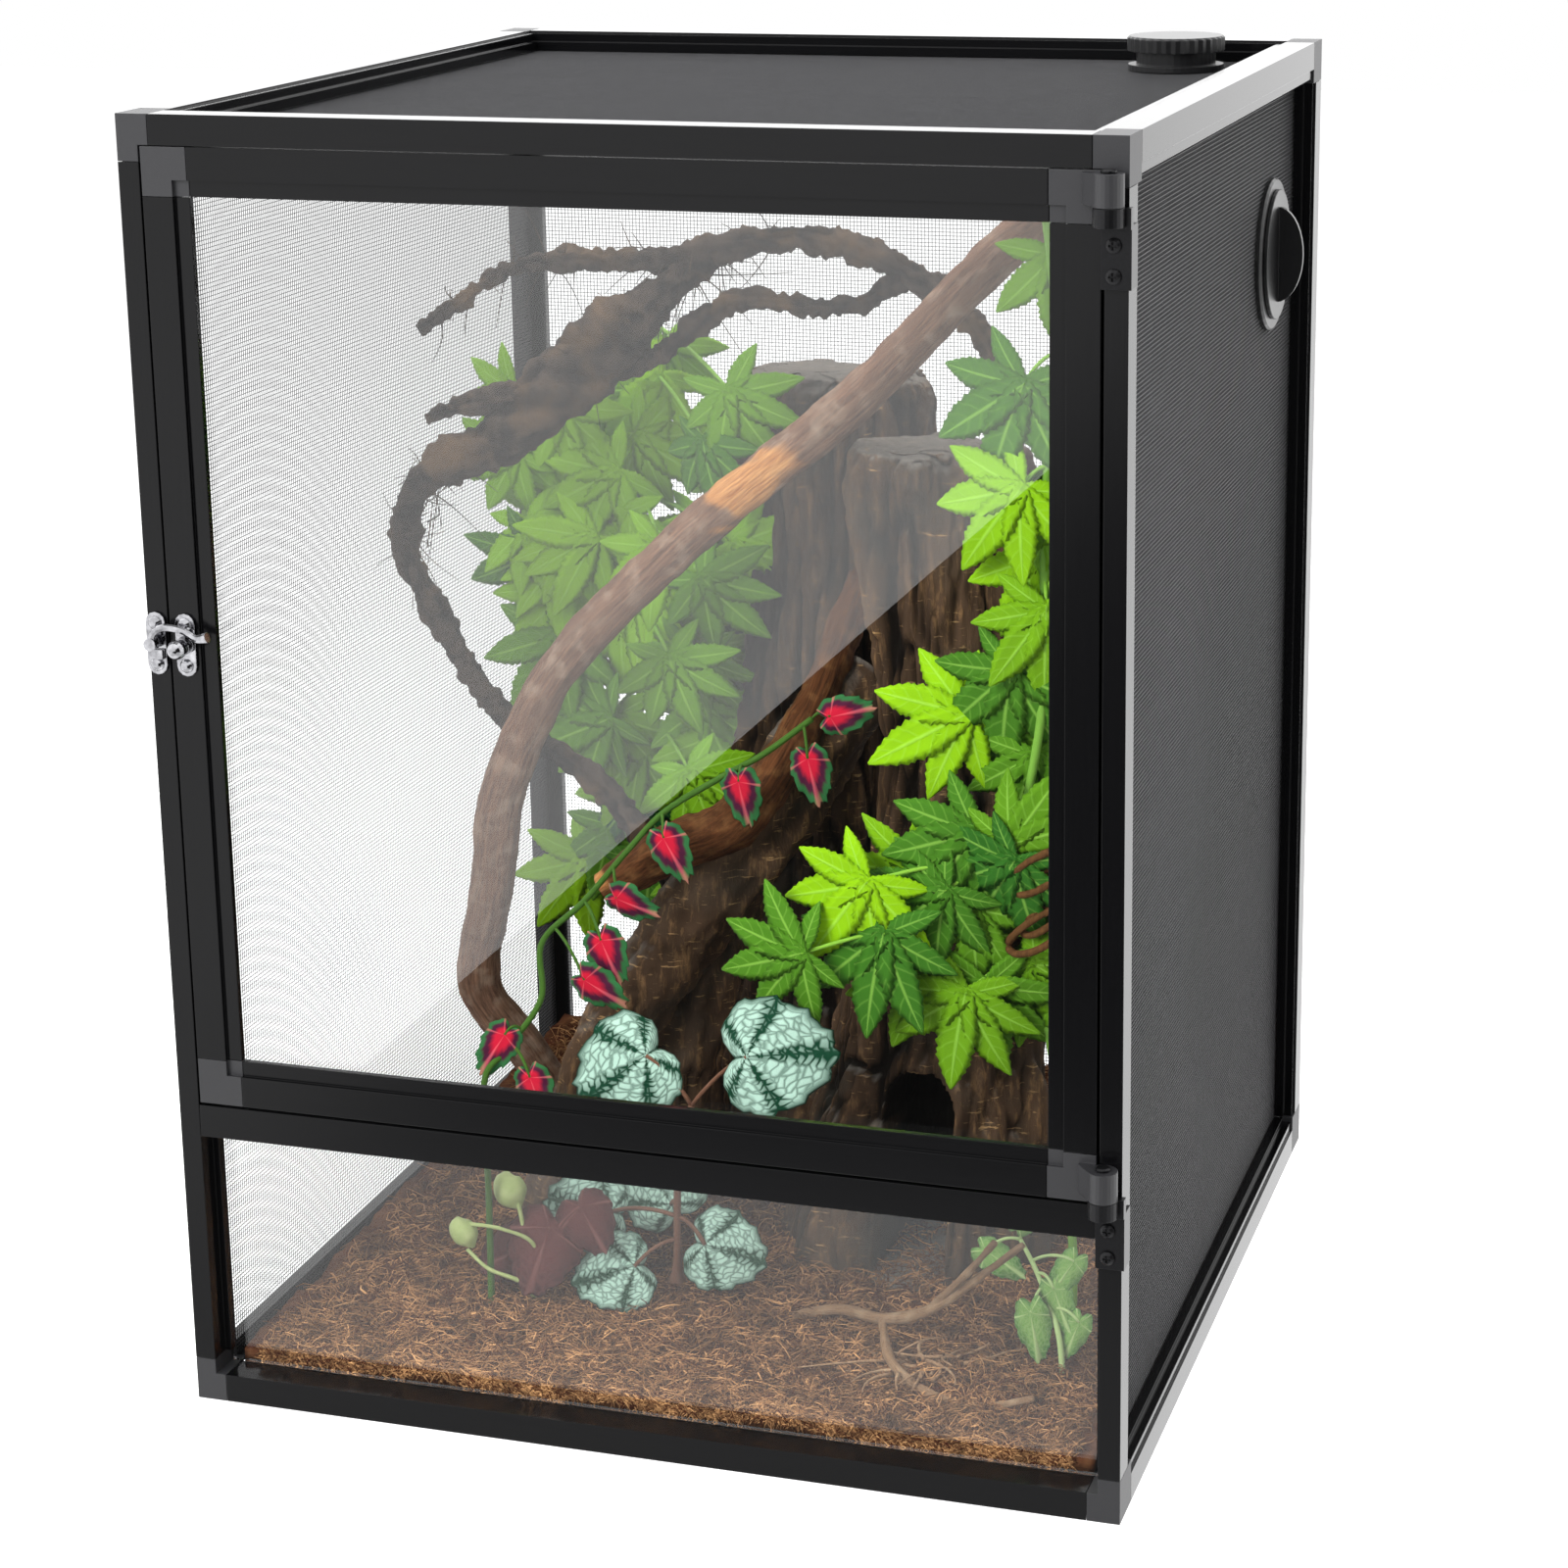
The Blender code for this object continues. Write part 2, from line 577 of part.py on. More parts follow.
# Door frame: stiles and rails with a bead, and corner blocks that plug into them
bead_back = BEAD_SET + BEAD_T
DOOR_OUTLINE = [(0, 0), (DOOR_FACE, 0), (DOOR_FACE, BEAD_SET), (DOOR_CORNER, BEAD_SET)]
DOOR_OUTLINE += [(DOOR_CORNER, bead_back), (DOOR_FACE, bead_back), (DOOR_FACE, DOOR_T), (0, DOOR_T)]
DOOR_HOLLOW = rectangle(WALL, DOOR_FACE - WALL, WALL, DOOR_T - WALL)
DOOR_W = DOOR_RIGHT - DOOR_LEFT
DOOR_H = DOOR_TOP - DOOR_BOTTOM
cut_back = DOOR_CORNER + GAP
blocks = {}
for sx in (-1, 1):
    edge = DOOR_LEFT if sx < 0 else DOOR_RIGHT
    start = Vector((edge, -HALF_D, DOOR_BOTTOM + cut_back))
    shape = swept(DOOR_OUTLINE, start, Z * (DOOR_H - 2 * cut_back), X * -sx, Y, DOOR_HOLLOW)
    add(f"door_stile_{SIDE_NAMES[sx]}", shape, ALUMINIUM, DOOR_AXIS)
for sz in (-1, 1):
    edge = DOOR_BOTTOM if sz < 0 else DOOR_TOP
    start = Vector((DOOR_LEFT + cut_back, -HALF_D, edge))
    shape = swept(DOOR_OUTLINE, start, X * (DOOR_W - 2 * cut_back), Z * -sz, Y, DOOR_HOLLOW)
    add(f"door_rail_{LEVEL_NAMES[sz]}", shape, ALUMINIUM, DOOR_AXIS)
leg_in = (INNER, DOOR_FACE - INNER)
leg_deep = (INNER, DOOR_T - INNER)
for sx in (-1, 1):
    for sz in (-1, 1):
        boxes = [((0, DOOR_CORNER), (0, DOOR_T), (0, DOOR_FACE)), ((0, DOOR_FACE), (0, DOOR_T), (0, DOOR_CORNER))]
        boxes.append(((0, DOOR_CORNER), (BEAD_SET, bead_back), (0, DOOR_CORNER)))
        boxes.append(((DOOR_FACE, DOOR_CORNER + LEG), leg_deep, leg_in))
        boxes.append((leg_in, leg_deep, (DOOR_FACE, DOOR_CORNER + LEG)))
        corner = Vector((DOOR_LEFT if sx < 0 else DOOR_RIGHT, -HALF_D, DOOR_BOTTOM if sz < 0 else DOOR_TOP))
        shape = hollowed(boxes, corner, X * -sx, Y, Z * -sz)
        name = f"door_corner_{LEVEL_NAMES[sz]}_{SIDE_NAMES[sx]}"
        blocks[(sx, sz)] = add(name, shape, CONNECTOR, DOOR_AXIS)
pane_in = DOOR_FACE + DOOR_PANE_SIDE
pane_back = -HALF_D + bead_back + GAP
low = (DOOR_LEFT + pane_in, pane_back, DOOR_BOTTOM + pane_in)
high = (DOOR_RIGHT - pane_in, pane_back + DOOR_PANE_T, DOOR_TOP - pane_in)
add("door_pane", block(low, high), CLEAR, DOOR_AXIS)


# Hinges: an arm and knuckle on each hinge-side corner block, a leaf on the post, a pin and two screws
def knuckle(base, height):
    """A solid knuckle on the hinge line."""
    profile = [(0, 0), (KNUCKLE_R, 0), (KNUCKLE_R, height), (0, height)]
    return turned(profile, Vector((HINGE_X, HINGE_Y, base)), Z, X, 24)


def rod(radius, centre, axis, side, start, end, sides=16):
    """A plain round rod."""
    return turned([(0, start), (radius, start), (radius, end), (0, end)], centre, axis, side, sides)


ARM_ROOT = [(DOOR_RIGHT - 7.5 * MM, -HALF_D + BEAD_SET), (DOOR_RIGHT - 7.5 * MM, -HALF_D - BEAD_SET)]
ARM_ROOT += [(HINGE_X - 4 * MM, HINGE_Y - KNUCKLE_R + 1.3 * MM), (HINGE_X, HINGE_Y - KNUCKLE_R + GAP)]
ARM_ROOT += [(HINGE_X, HINGE_Y + KNUCKLE_R - 0.6 * MM), (DOOR_RIGHT, HINGE_Y + KNUCKLE_R - 0.6 * MM)]
ARM_ROOT += [(DOOR_RIGHT - 0.4 * MM, -HALF_D + BEAD_SET)]
hinge_line = Vector((HINGE_X, HINGE_Y, 0))
leaf_x = HALF_W - LEAF_INSET
leaf_front = -HALF_D - GAP - LEAF_T
wrap_x = HALF_W + GAP
screw_x = HALF_W - LEAF_INSET / 2
hinge_cuts = []
for sz, seam in ((1, TOP_SEAM), (-1, BOTTOM_SEAM)):
    word = LEVEL_NAMES[sz]
    base = seam + GAP
    arm = swept(ARM_ROOT, Z * (base + GAP), Z * (DOOR_KNUCKLE_H - 2 * GAP), X, Y)
    combine(blocks[(1, sz)], add(f"hinge_arm_{word}", arm, None, DOOR_AXIS), "UNION")
    wide = add(f"door_knuckle_{word}", knuckle(base, DOOR_KNUCKLE_H), None, DOOR_AXIS)
    combine(blocks[(1, sz)], wide, "UNION")
    bore = rod(PIN_R + GAP, hinge_line, Z, X, base - WALL, base + DOOR_KNUCKLE_H + WALL)
    combine(blocks[(1, sz)], add(f"door_bore_{word}", bore, None, DOOR_AXIS), "DIFFERENCE")

    plate_top = seam - LEAF_KNUCKLE_H
    plate_low = plate_top - LEAF_H
    web_y = HINGE_Y + PIN_R
    outline = [(leaf_x, -HALF_D - GAP), (leaf_x, leaf_front), (wrap_x + LEAF_WRAP_T, leaf_front)]
    outline += [(wrap_x + LEAF_WRAP_T, -HALF_D + LEAF_WRAP), (wrap_x, -HALF_D + LEAF_WRAP)]
    outline += [(wrap_x, -HALF_D - GAP)]
    leaf = add(f"hinge_leaf_{word}", swept(outline, Z * plate_low, Z * LEAF_H, X, Y), STEEL)
    web = block((leaf_x, web_y, plate_top - WALL), (wrap_x + LEAF_WRAP_T, -HALF_D - GAP, seam - GAP))
    combine(leaf, add(f"leaf_web_{word}", web), "UNION")
    combine(leaf, add(f"leaf_knuckle_{word}", knuckle(plate_top - GAP, LEAF_KNUCKLE_H + GAP)), "UNION")
    bore = rod(PIN_R + GAP, hinge_line, Z, X, plate_top + PIN_FLOOR, seam + WALL)
    combine(leaf, add(f"leaf_bore_{word}", bore), "DIFFERENCE")

    pin_low = plate_top + PIN_FLOOR + GAP
    pin_high = base + DOOR_KNUCKLE_H + GAP
    profile = [(0, pin_low), (PIN_R, pin_low), (PIN_R, pin_high), (PIN_HEAD_R, pin_high)]
    profile += [(PIN_HEAD_R, pin_high + PIN_HEAD_T * 0.6), (PIN_HEAD_R * 0.75, pin_high + PIN_HEAD_T)]
    profile += [(0, pin_high + PIN_HEAD_T)]
    add(f"hinge_pin_{word}", turned(profile, hinge_line, Z, X, 14), STEEL)

    for number, drop in enumerate((SCREW_FIRST, SCREW_FIRST + SCREW_SPACING), 1):
        centre = Vector((screw_x, leaf_front - GAP, plate_top - drop))
        profile = [(0, -SCREW_LENGTH), (SCREW_R, -SCREW_LENGTH), (SCREW_R, 0), (SCREW_HEAD_R, 0)]
        profile += [(SCREW_HEAD_R, SCREW_HEAD_T * 0.45), (SCREW_HEAD_R * 0.6, SCREW_HEAD_T), (0, SCREW_HEAD_T)]
        screw = add(f"hinge_screw_{word}_{number}", turned(profile, centre, -Y, X, 14), STEEL)
        arm_l = SCREW_HEAD_R * 0.55
        arm_w = SCREW_HEAD_R * 0.13
        cross = [(arm_l, arm_w), (arm_w, arm_w), (arm_w, arm_l), (-arm_w, arm_l), (-arm_w, arm_w), (-arm_l, arm_w)]
        cross += [(-u, -v) for u, v in cross]
        slot = swept(cross, centre - Y * (SCREW_HEAD_T * 0.4), -Y * SCREW_HEAD_T, X, Z)
        combine(screw, add(f"screw_cross_{word}_{number}", slot), "DIFFERENCE")
        lean = 0.21 * number + 0.07 * sz
        side = X * math.cos(lean) + Z * math.sin(lean)
        hole = rod(SCREW_R + GAP, centre, Y, side, -WALL, LEAF_T + GAP + WALL * 2, 12)
        hole = add(f"screw_hole_{word}_{number}", hole)
        combine(leaf, hole, "DIFFERENCE")
        combine(posts[(1, -1)], hole, "DIFFERENCE")


# Latch: keeper plate on the post, stud plate with a ball stud on the door, swing arm on the stud
def dome(centre):
    """A low round screw head on a plate, rooted in it."""
    profile = [(0, -PLATE_T / 2), (DOME_R, -PLATE_T / 2), (DOME_R, DOME_H * 0.35)]
    profile += [(DOME_R * 0.75, DOME_H * 0.8), (DOME_R * 0.35, DOME_H), (0, DOME_H)]
    return turned(profile, centre, -Y, X, 14)


def latch_plate(centre_x):
    """An upright plate with round ends."""
    start = Vector((centre_x, -HALF_D - GAP, LATCH_Z))
    return swept(stadium(PLATE_W, PLATE_H), start, -Y * PLATE_T, X, Z)


plate_face = -HALF_D - PLATE_OUT
domes = [dome(Vector((KEEPER_X, plate_face, LATCH_Z + s * DOME_SPACING / 2))) for s in (-1, 1)]
rest_z = LATCH_Z + 0.8 * MM - ARM_BOSS_R - GAP
low = (KEEPER_X - 3.6 * MM, plate_face - DOME_H, rest_z - KEEPER_BLOCK_H)
high = (KEEPER_X + 3.6 * MM, plate_face + PLATE_T / 2, rest_z)
keeper = add("latch_keeper", latch_plate(KEEPER_X), CHROME)
combine(keeper, add("keeper_details", together(*domes, block(low, high))), "UNION", True)
domes = [dome(Vector((STUD_X, plate_face, LATCH_Z + s * DOME_SPACING / 2))) for s in (-1, 1)]
profile = [(0, PLATE_OUT - PLATE_T / 2), (STUD_BASE_R, PLATE_OUT - PLATE_T / 2)]
profile += [(STUD_BASE_R, HUB_BACK - GAP), (NECK_R, HUB_BACK - GAP), (NECK_R, BALL_BACK)]
for i in range(1, 6):
    turn = math.pi - math.asin(NECK_R / BALL_R)
    turn *= 1 - i / 6
    profile.append((BALL_R * math.sin(turn), BALL_OUT + BALL_R * math.cos(turn)))
profile.append((0, BALL_OUT + BALL_R))
stud = turned(profile, Vector((STUD_X, -HALF_D, LATCH_Z)), -Y, X, 18)
stud_plate = add("latch_stud_plate", latch_plate(STUD_X), CHROME, DOOR_AXIS)
combine(stud_plate, add("stud_details", together(*domes, stud), None, DOOR_AXIS), "UNION")

to_keeper = KEEPER_X - STUD_X
boss_z = LATCH_Z + 0.8 * MM
arc = [(to_keeper, 0.8, ARM_R), (to_keeper + 1 * MM, 5, ARM_R), (to_keeper + 4 * MM, 8, ARM_R)]
arc += [(to_keeper + 8.5 * MM, 9, ARM_R), (-1.5 * MM, 8.6, ARM_R), (2.5 * MM, 7.6, ARM_R)]
arc += [(6 * MM, 5.6, ARM_R), (9 * MM, 4.6, ARM_R * 1.15), (13.5 * MM, 5.6, GRIP_R)]
scale = ARM_RISE / 8.7
stations = [(STUD_X + u, -HALF_D - ARM_OUT, LATCH_Z + w * scale, r) for u, w, r in arc]
hub = [(NECK_R + GAP, HUB_BACK), (HUB_R, HUB_BACK), (HUB_R, HUB_BACK + HUB_T), (NECK_R + GAP, HUB_BACK + HUB_T)]
arm_piece = add("latch_arm", turned(hub, Vector((STUD_X, -HALF_D, LATCH_Z)), -Y, X, 18), CHROME, ARM_AXIS)
boss_back = PLATE_OUT + DOME_H + GAP
boss = rod(ARM_BOSS_R, Vector((KEEPER_X, -HALF_D, boss_z)), -Y, X, boss_back, ARM_OUT + ARM_R + GAP)
low = (STUD_X - 1.9 * MM, -HALF_D - HUB_BACK - HUB_T + GAP, LATCH_Z + HUB_R - 1.2 * MM)
high = (STUD_X + 1.9 * MM, -HALF_D - HUB_BACK - GAP / 2, LATCH_Z + ARM_RISE + ARM_R * 0.4)
combine(arm_piece, add("arm_web", block(low, high), None, ARM_AXIS), "UNION")
combine(arm_piece, add("arm_arc", tube(stations, 8, 2), None, ARM_AXIS), "UNION")
combine(arm_piece, add("arm_boss", boss, None, ARM_AXIS), "UNION")

# Side port: a flanged ring through the screen, and a twist cap with a half-moon fin
centre = Vector((SIDE_RING_X, SIDE_PORT_Y, SIDE_PORT_Z))
profile = [(SIDE_BORE_R, -SIDE_BARREL_L), (SIDE_BARREL_R, -SIDE_BARREL_L), (SIDE_BARREL_R, 0)]
profile += [(SIDE_FLANGE_R, 0), (SIDE_FLANGE_R, SIDE_FLANGE_T * 0.6), (SIDE_FLANGE_R - 1 * MM, SIDE_FLANGE_T)]
profile += [(SIDE_BORE_R, SIDE_FLANGE_T)]
add("side_port_ring", turned(profile, centre, X, Y, 36), PORT)
lid = SIDE_LID_X - SIDE_RING_X
plug = SIDE_BORE_R - PORT_CLEAR
profile = [(0, lid + SIDE_LID_T), (SIDE_LID_R - GAP, lid + SIDE_LID_T), (SIDE_LID_R, lid + SIDE_LID_T - GAP)]
profile += [(SIDE_LID_R, lid), (plug, lid), (plug, lid - SIDE_PLUG_L), (plug - SIDE_PLUG_T, lid - SIDE_PLUG_L)]
profile += [(plug - SIDE_PLUG_T, lid), (0, lid)]
side_cap = add("side_port_cap", turned(profile, centre, X, Y, 36), PORT, SIDE_CAP_AXIS)
root = SIDE_LID_X + SIDE_LID_T / 2
rise = SIDE_LID_T / 2 + FIN_RISE
turns = [math.pi * i / 18 for i in range(19)]
outline = [(rise * math.sin(t), -FIN_L / 2 * math.cos(t)) for t in turns]
start = Vector((root, SIDE_PORT_Y - FIN_T / 2, SIDE_PORT_Z))
combine(side_cap, add("cap_fin", swept(outline, start, Y * FIN_T, X, Z), None, SIDE_CAP_AXIS), "UNION")

# Top port: a flanged neck through the screen, and a knurled cap
centre = Vector((TOP_PORT_X, TOP_PORT_Y, TOP_RING_Z))
neck_top = TOP_CAP_RISE - TOP_LID_T - GAP
profile = [(TOP_BORE_R, -TOP_NECK_DROP), (TOP_NECK_R, -TOP_NECK_DROP), (TOP_NECK_R, 0), (TOP_FLANGE_R, 0)]
profile += [(TOP_FLANGE_R, TOP_FLANGE_T), (TOP_NECK_R, TOP_FLANGE_T), (TOP_NECK_R, neck_top), (TOP_BORE_R, neck_top)]
add("top_port_ring", turned(profile, centre, Z, X, 40), PORT)
inner = TOP_NECK_R + PORT_CLEAR
profile = [(0, TOP_CAP_RISE), (TOP_CAP_R - 1.2 * MM, TOP_CAP_RISE), (TOP_CAP_R, TOP_CAP_RISE - 1 * MM)]
profile += [(TOP_CAP_R, TOP_CAP_RISE - TOP_CAP_H), (inner, TOP_CAP_RISE - TOP_CAP_H)]
profile += [(inner, TOP_CAP_RISE - TOP_LID_T), (0, TOP_CAP_RISE - TOP_LID_T)]
add("top_port_cap", turned(profile, centre, Z, X, 64, ((2, 3), 0.8 * MM)), PORT, TOP_CAP_AXIS)


# Furnishing helpers
def spot(x, y, z):
    """A point of the layout, in millimetres, as a point of this cage; low plants keep their height."""
    stretch = (CAGE_H - FLOOR_Z) - (LAYOUT_H - LAYOUT_FLOOR)
    up = z * MM - LAYOUT_FLOOR + FLOOR_Z + stretch * max(z * MM - LAYOUT_LOW, 0) / (LAYOUT_H - LAYOUT_LOW)
    return Vector((x * MM * CAGE_W / LAYOUT_W, y * MM * CAGE_D / LAYOUT_D, up))


def path_of(points, radius=None):
    """Stations from layout points (x, y, z) with one radius, or (x, y, z, radius in mm)."""
    stations = []
    for point in points:
        place = spot(*point[:3])
        stations.append((*place, radius if radius else point[3] * MM))
    return stations


def stump(points, ridges, phase, grow=0.0):
    """A ridged bark stump: level rings (x, y, z, half width, half depth)."""
    rings = []
    for index, (x, y, z, wide, deep) in enumerate(points):
        lift = grow if index == len(points) - 1 else -grow if index == 0 else 0
        centre = spot(x, y, z) + Z * lift
        ring = []
        for i in range(20):
            turn = math.tau * i / 20
            wave = 1 + 0.045 * math.cos(ridges * turn + phase + index * 0.25)
            wave += 0.03 * math.cos((ridges + 4) * turn - phase * 2)
            reach_x = wide * MM * wave + grow
            reach_y = deep * MM * wave + grow
            ring.append(centre + X * (reach_x * math.cos(turn)) + Y * (reach_y * math.sin(turn)))
        rings.append(ring)
    return loft(rings)


def leaf(centre, aim, facing, polar):
    """A thin leaf plate: polar is a list of (angle from the aim, radius); it stays inside the cage."""
    facing = facing.normalized()
    aim = (aim - facing * aim.dot(facing)).normalized()
    across = facing.cross(aim)
    limit = HALF_W - PANEL_OUT - 3 * MM
    rim = []
    for angle, radius in polar:
        arm = aim * (radius * math.cos(angle)) + across * (radius * math.sin(angle))
        over = abs(centre.x + arm.x) - limit
        if over > 0:
            arm *= 1 - over / abs(arm.x)
        rim.append(centre + arm)
    half = facing * (LEAF_PLATE_T / 2)
    rings = [[point - half for point in rim], [point + half for point in rim]]
    return loft(rings, (centre - half, centre + half))


def palmate(length):
    """The outline of a leaf with seven pointed lobes."""
    polar = []
    lobes = ((-125, 0.55), (-78, 0.78), (-38, 0.92), (0, 1.0), (38, 0.92), (78, 0.78), (125, 0.55))
    for index, (angle, reach) in enumerate(lobes):
        polar.append((math.radians(angle), length * reach))
        if index < 6:
            polar.append((math.radians((angle + lobes[index + 1][0]) / 2), length * 0.32))
    polar.append((math.pi, length * 0.1))
    return polar


def rounded(length, width):
    """The outline of a pointed oval leaf, measured from a point near its stalk."""
    polar = []
    for i in range(9):
        turn = math.tau * i / 9
        u = math.cos(turn) * length / 2 + length * 0.25
        v = math.sin(turn) * width / 2 * (1 - 0.35 * math.cos(turn))
        polar.append((math.atan2(v, u), math.hypot(u, v)))
    return polar


def bunch(name, stem, leaves, material, outline_of):
    """A stem with leaves on stalks, joined into one piece.

    A leaf is (x, y, z, length in mm, aim in degrees from straight down, tilt, stalk point on the stem).
    """
    stations = smooth_path(path_of(stem), 3)
    shapes = []
    for x, y, z, length, aim, tilt in leaves:
        centre = spot(x, y, z)
        turn = math.radians(aim)
        lean = math.radians(tilt)
        facing = Vector((0.25 * math.sin(lean * 2), -math.cos(lean), math.sin(lean)))
        way = Vector((math.sin(turn), 0, -math.cos(turn)))
        shapes.append(leaf(centre, way, facing, outline_of(length * MM)))
        nearest = min(stations, key=lambda p: (Vector(p[:3]) - centre - Z * 12 * MM).length)
        base = Vector(nearest[:3])
        bend = (centre + base) / 2 + Z * 6 * MM
        stalk = [(*(centre - way * 2 * MM), PETIOLE_R), (*bend, PETIOLE_R), (*base, PETIOLE_R)]
        shapes.append(tube(stalk, 4, 1))
    piece = add(name, tube(path_of(stem), 6, 1), material)
    combine(piece, add(name + "_leaves", together(*shapes)), "UNION", True)
    return piece


# Bark: two hollow stumps, a root that runs down to the floor and a cut log, all one piece
STUMP_LEFT = [(-8, 72, 10, 79, 59), (-6, 76, 70, 74, 54), (-4, 84, 130, 66, 48), (0, 92, 200, 60, 44)]
STUMP_LEFT += [(0, 98, 270, 54, 40), (-1, 103, 330, 50, 37), (-2, 105, 375, 48, 35), (-2, 105, 405, 52, 37)]
STUMP_LEFT += [(-2, 105, 432, 53, 38), (-2, 105, 446, 46, 32), (-2, 105, 452, 30, 20)]
STUMP_RIGHT = [(72, -10, 10, 73, 59), (74, -6, 60, 68, 54), (78, 4, 110, 60, 46), (80, 14, 180, 48, 40)]
STUMP_RIGHT += [(86, 24, 250, 42, 35), (84, 30, 310, 42, 34), (78, 33, 360, 45, 35), (73, 35, 395, 48, 36)]
STUMP_RIGHT += [(72, 35, 415, 47, 34), (71, 35, 425, 42, 29), (70, 35, 430, 28, 18)]
ROOT = [(24, 62, 300, 20), (-15, 5, 232, 23), (-52, -15, 177, 20), (-87, -35, 117, 17)]
ROOT += [(-104, -46, 62, 18), (-110, -52, 5, 22)]
LOG = [(-80, -45, 208, 9), (-52, -36, 228, 11.5), (-16, -20, 246, 13), (8, 12, 286, 10), (20, 85, 352, 8)]
BRANCH = [(-118, 22, 5, 10.5), (-124, 17, 50, 10), (-145, 7, 95, 10.5), (-169, 0, 135, 11), (-159, -3, 191, 11.5)]
BRANCH += [(-149, -3, 248, 11.5), (-117, 0, 311, 11), (-59, 5, 371, 11), (-7, 13, 416, 11)]
BRANCH += [(44, 20, 460, 11), (94, 30, 513, 10.5), (124, 37, 540, 10), (148, 45, 563, 9)]
VINE_TOP = [(-204, 35, 473, 3), (-155, 55, 504, 4.5), (-84, 75, 508, 6), (-5, 75, 521, 6), (58, 70, 500, 6)]
VINE_TOP += [(92, 62, 470, 6), (106, 48, 432, 6.5), (98, 42, 404, 5)]
VINE_MASS = [(-52, 75, 511, 5), (-80, 68, 494, 9), (-110, 55, 466, 18), (-154, 28, 424, 14), (-194, 5, 398, 8)]
VINE_MASS += [(-201, 5, 362, 6), (-190, 15, 329, 6), (-175, 20, 297, 6), (-156, 22, 273, 6)]
VINE_MASS += [(-104, 22, 239, 6), (-62, -6, 207, 6), (-44, -12, 193, 5)]
VINE_TWIG = [(-140, 38, 444, 6), (-168, 22, 440, 4.5), (-192, 12, 433, 2.5)]
VINE_LOOP = [(46, 71, 504, 5), (11, 72, 487, 4.5), (-45, 72, 488, 5), (-88, 62, 458, 5), (-122, 48, 450, 6)]
COLEUS_STEM = [(-112, -132, 10, 1.8), (-112, -130, 80, 1.6), (-112, -130, 135, 1.6), (-104, -120, 150, 1.6)]
COLEUS_STEM += [(-92, -103, 171, 1.6), (-95, -92, 196, 1.6), (-78, -78, 214, 1.6), (-59, -66, 238, 1.6)]
COLEUS_STEM += [(-43, -56, 256, 1.6), (-18, -46, 272, 1.6), (3, -38, 284, 1.6), (24, -26, 300, 1.6)]
GARLAND_RIGHT = [(150, -70, 575, 2.2), (158, -72, 500, 2.2), (152, -70, 420, 2.2), (150, -66, 330, 2.2)]
GARLAND_RIGHT += [(142, -70, 260, 2.2), (150, -68, 190, 2.2), (160, -66, 120, 2.2), (165, -66, 60, 2.2)]
GARLAND_RIGHT += [(165, -64, 10, 2.2)]
GARLAND_LEFT = [(-102, 112, 466, 2.2), (-113, 114, 400, 2.2), (-118, 114, 330, 2.2), (-113, 114, 260, 2.2)]
GARLAND_LEFT += [(-106, 116, 200, 2.2), (-102, 118, 130, 2.2), (-100, 120, 60, 2.2), (-100, 120, 10, 2.2)]
BEGONIA_STEM = [(-28, -95, 10, 6), (-28, -96, 26, 5), (-26, -100, 40, 2.2), (-22, -106, 90, 1.8), (-12, -112, 128, 1.6)]
TWIG_MAIN = [(34, -106, 21, 2), (63, -115, 32, 2.4), (88, -125, 35, 2.6), (116, -130, 48, 2.6), (157, -130, 84, 1.6)]
TWIG_FRONT = [(86, -124, 35, 2.2), (98, -150, 27, 2.4), (118, -166, 22, 2.4), (146, -171, 20, 2), (172, -168, 26, 1.6)]
TWIG_UP = [(112, -129, 46, 2), (130, -134, 67, 1.8), (146, -140, 88, 1.4)]

below_floor = (-CAGE_W, -CAGE_D, -CAGE_H / 4)
floor_guide = add("floor_level", block(below_floor, (CAGE_W, CAGE_D, FLOOR_Z)))
bark = add("bark_trunk", stump(STUMP_LEFT, 5, 0.4), BARK)
combine(bark, add("stump_right", stump(STUMP_RIGHT, 6, 1.3)), "UNION")
combine(bark, add("root", tube(path_of(ROOT), 12, 2)), "UNION")
combine(bark, add("log", tube(path_of(LOG), 10, 2)), "UNION")
middle = spot(80, -45, 0).x
arch = [(middle - HOLLOW_HALF_W, HOLLOW_SILL), (middle + HOLLOW_HALF_W, HOLLOW_SILL)]
spring = HOLLOW_TOP - HOLLOW_HALF_W
for i in range(7):
    turn = math.pi * i / 6
    arch.append((middle + HOLLOW_HALF_W * math.cos(turn), spring + HOLLOW_HALF_W * math.sin(turn)))
start = Y * spot(0, -95, 0).y
pocket = swept(arch, start, Y * (spot(0, 10, 0).y - start.y), X, Z)
combine(bark, add("hollow", pocket), "DIFFERENCE")
combine(bark, floor_guide, "DIFFERENCE")

# Climbing branch, from the floor over the stumps to the right wall
branch = add("climbing_branch", tube(path_of(BRANCH), 12, 2), WOOD)
combine(branch, floor_guide, "DIFFERENCE")

# Twisted vine: strands that meet in a thick mass and end on the right stump and the root
vine = add("twisted_vine", tube(path_of(VINE_TOP), 7, 2), VINE)
strands = [tube(path_of(line), 7, 2) for line in (VINE_MASS, VINE_TWIG, VINE_LOOP)]
combine(vine, add("vine_strands", together(*strands)), "UNION", True)

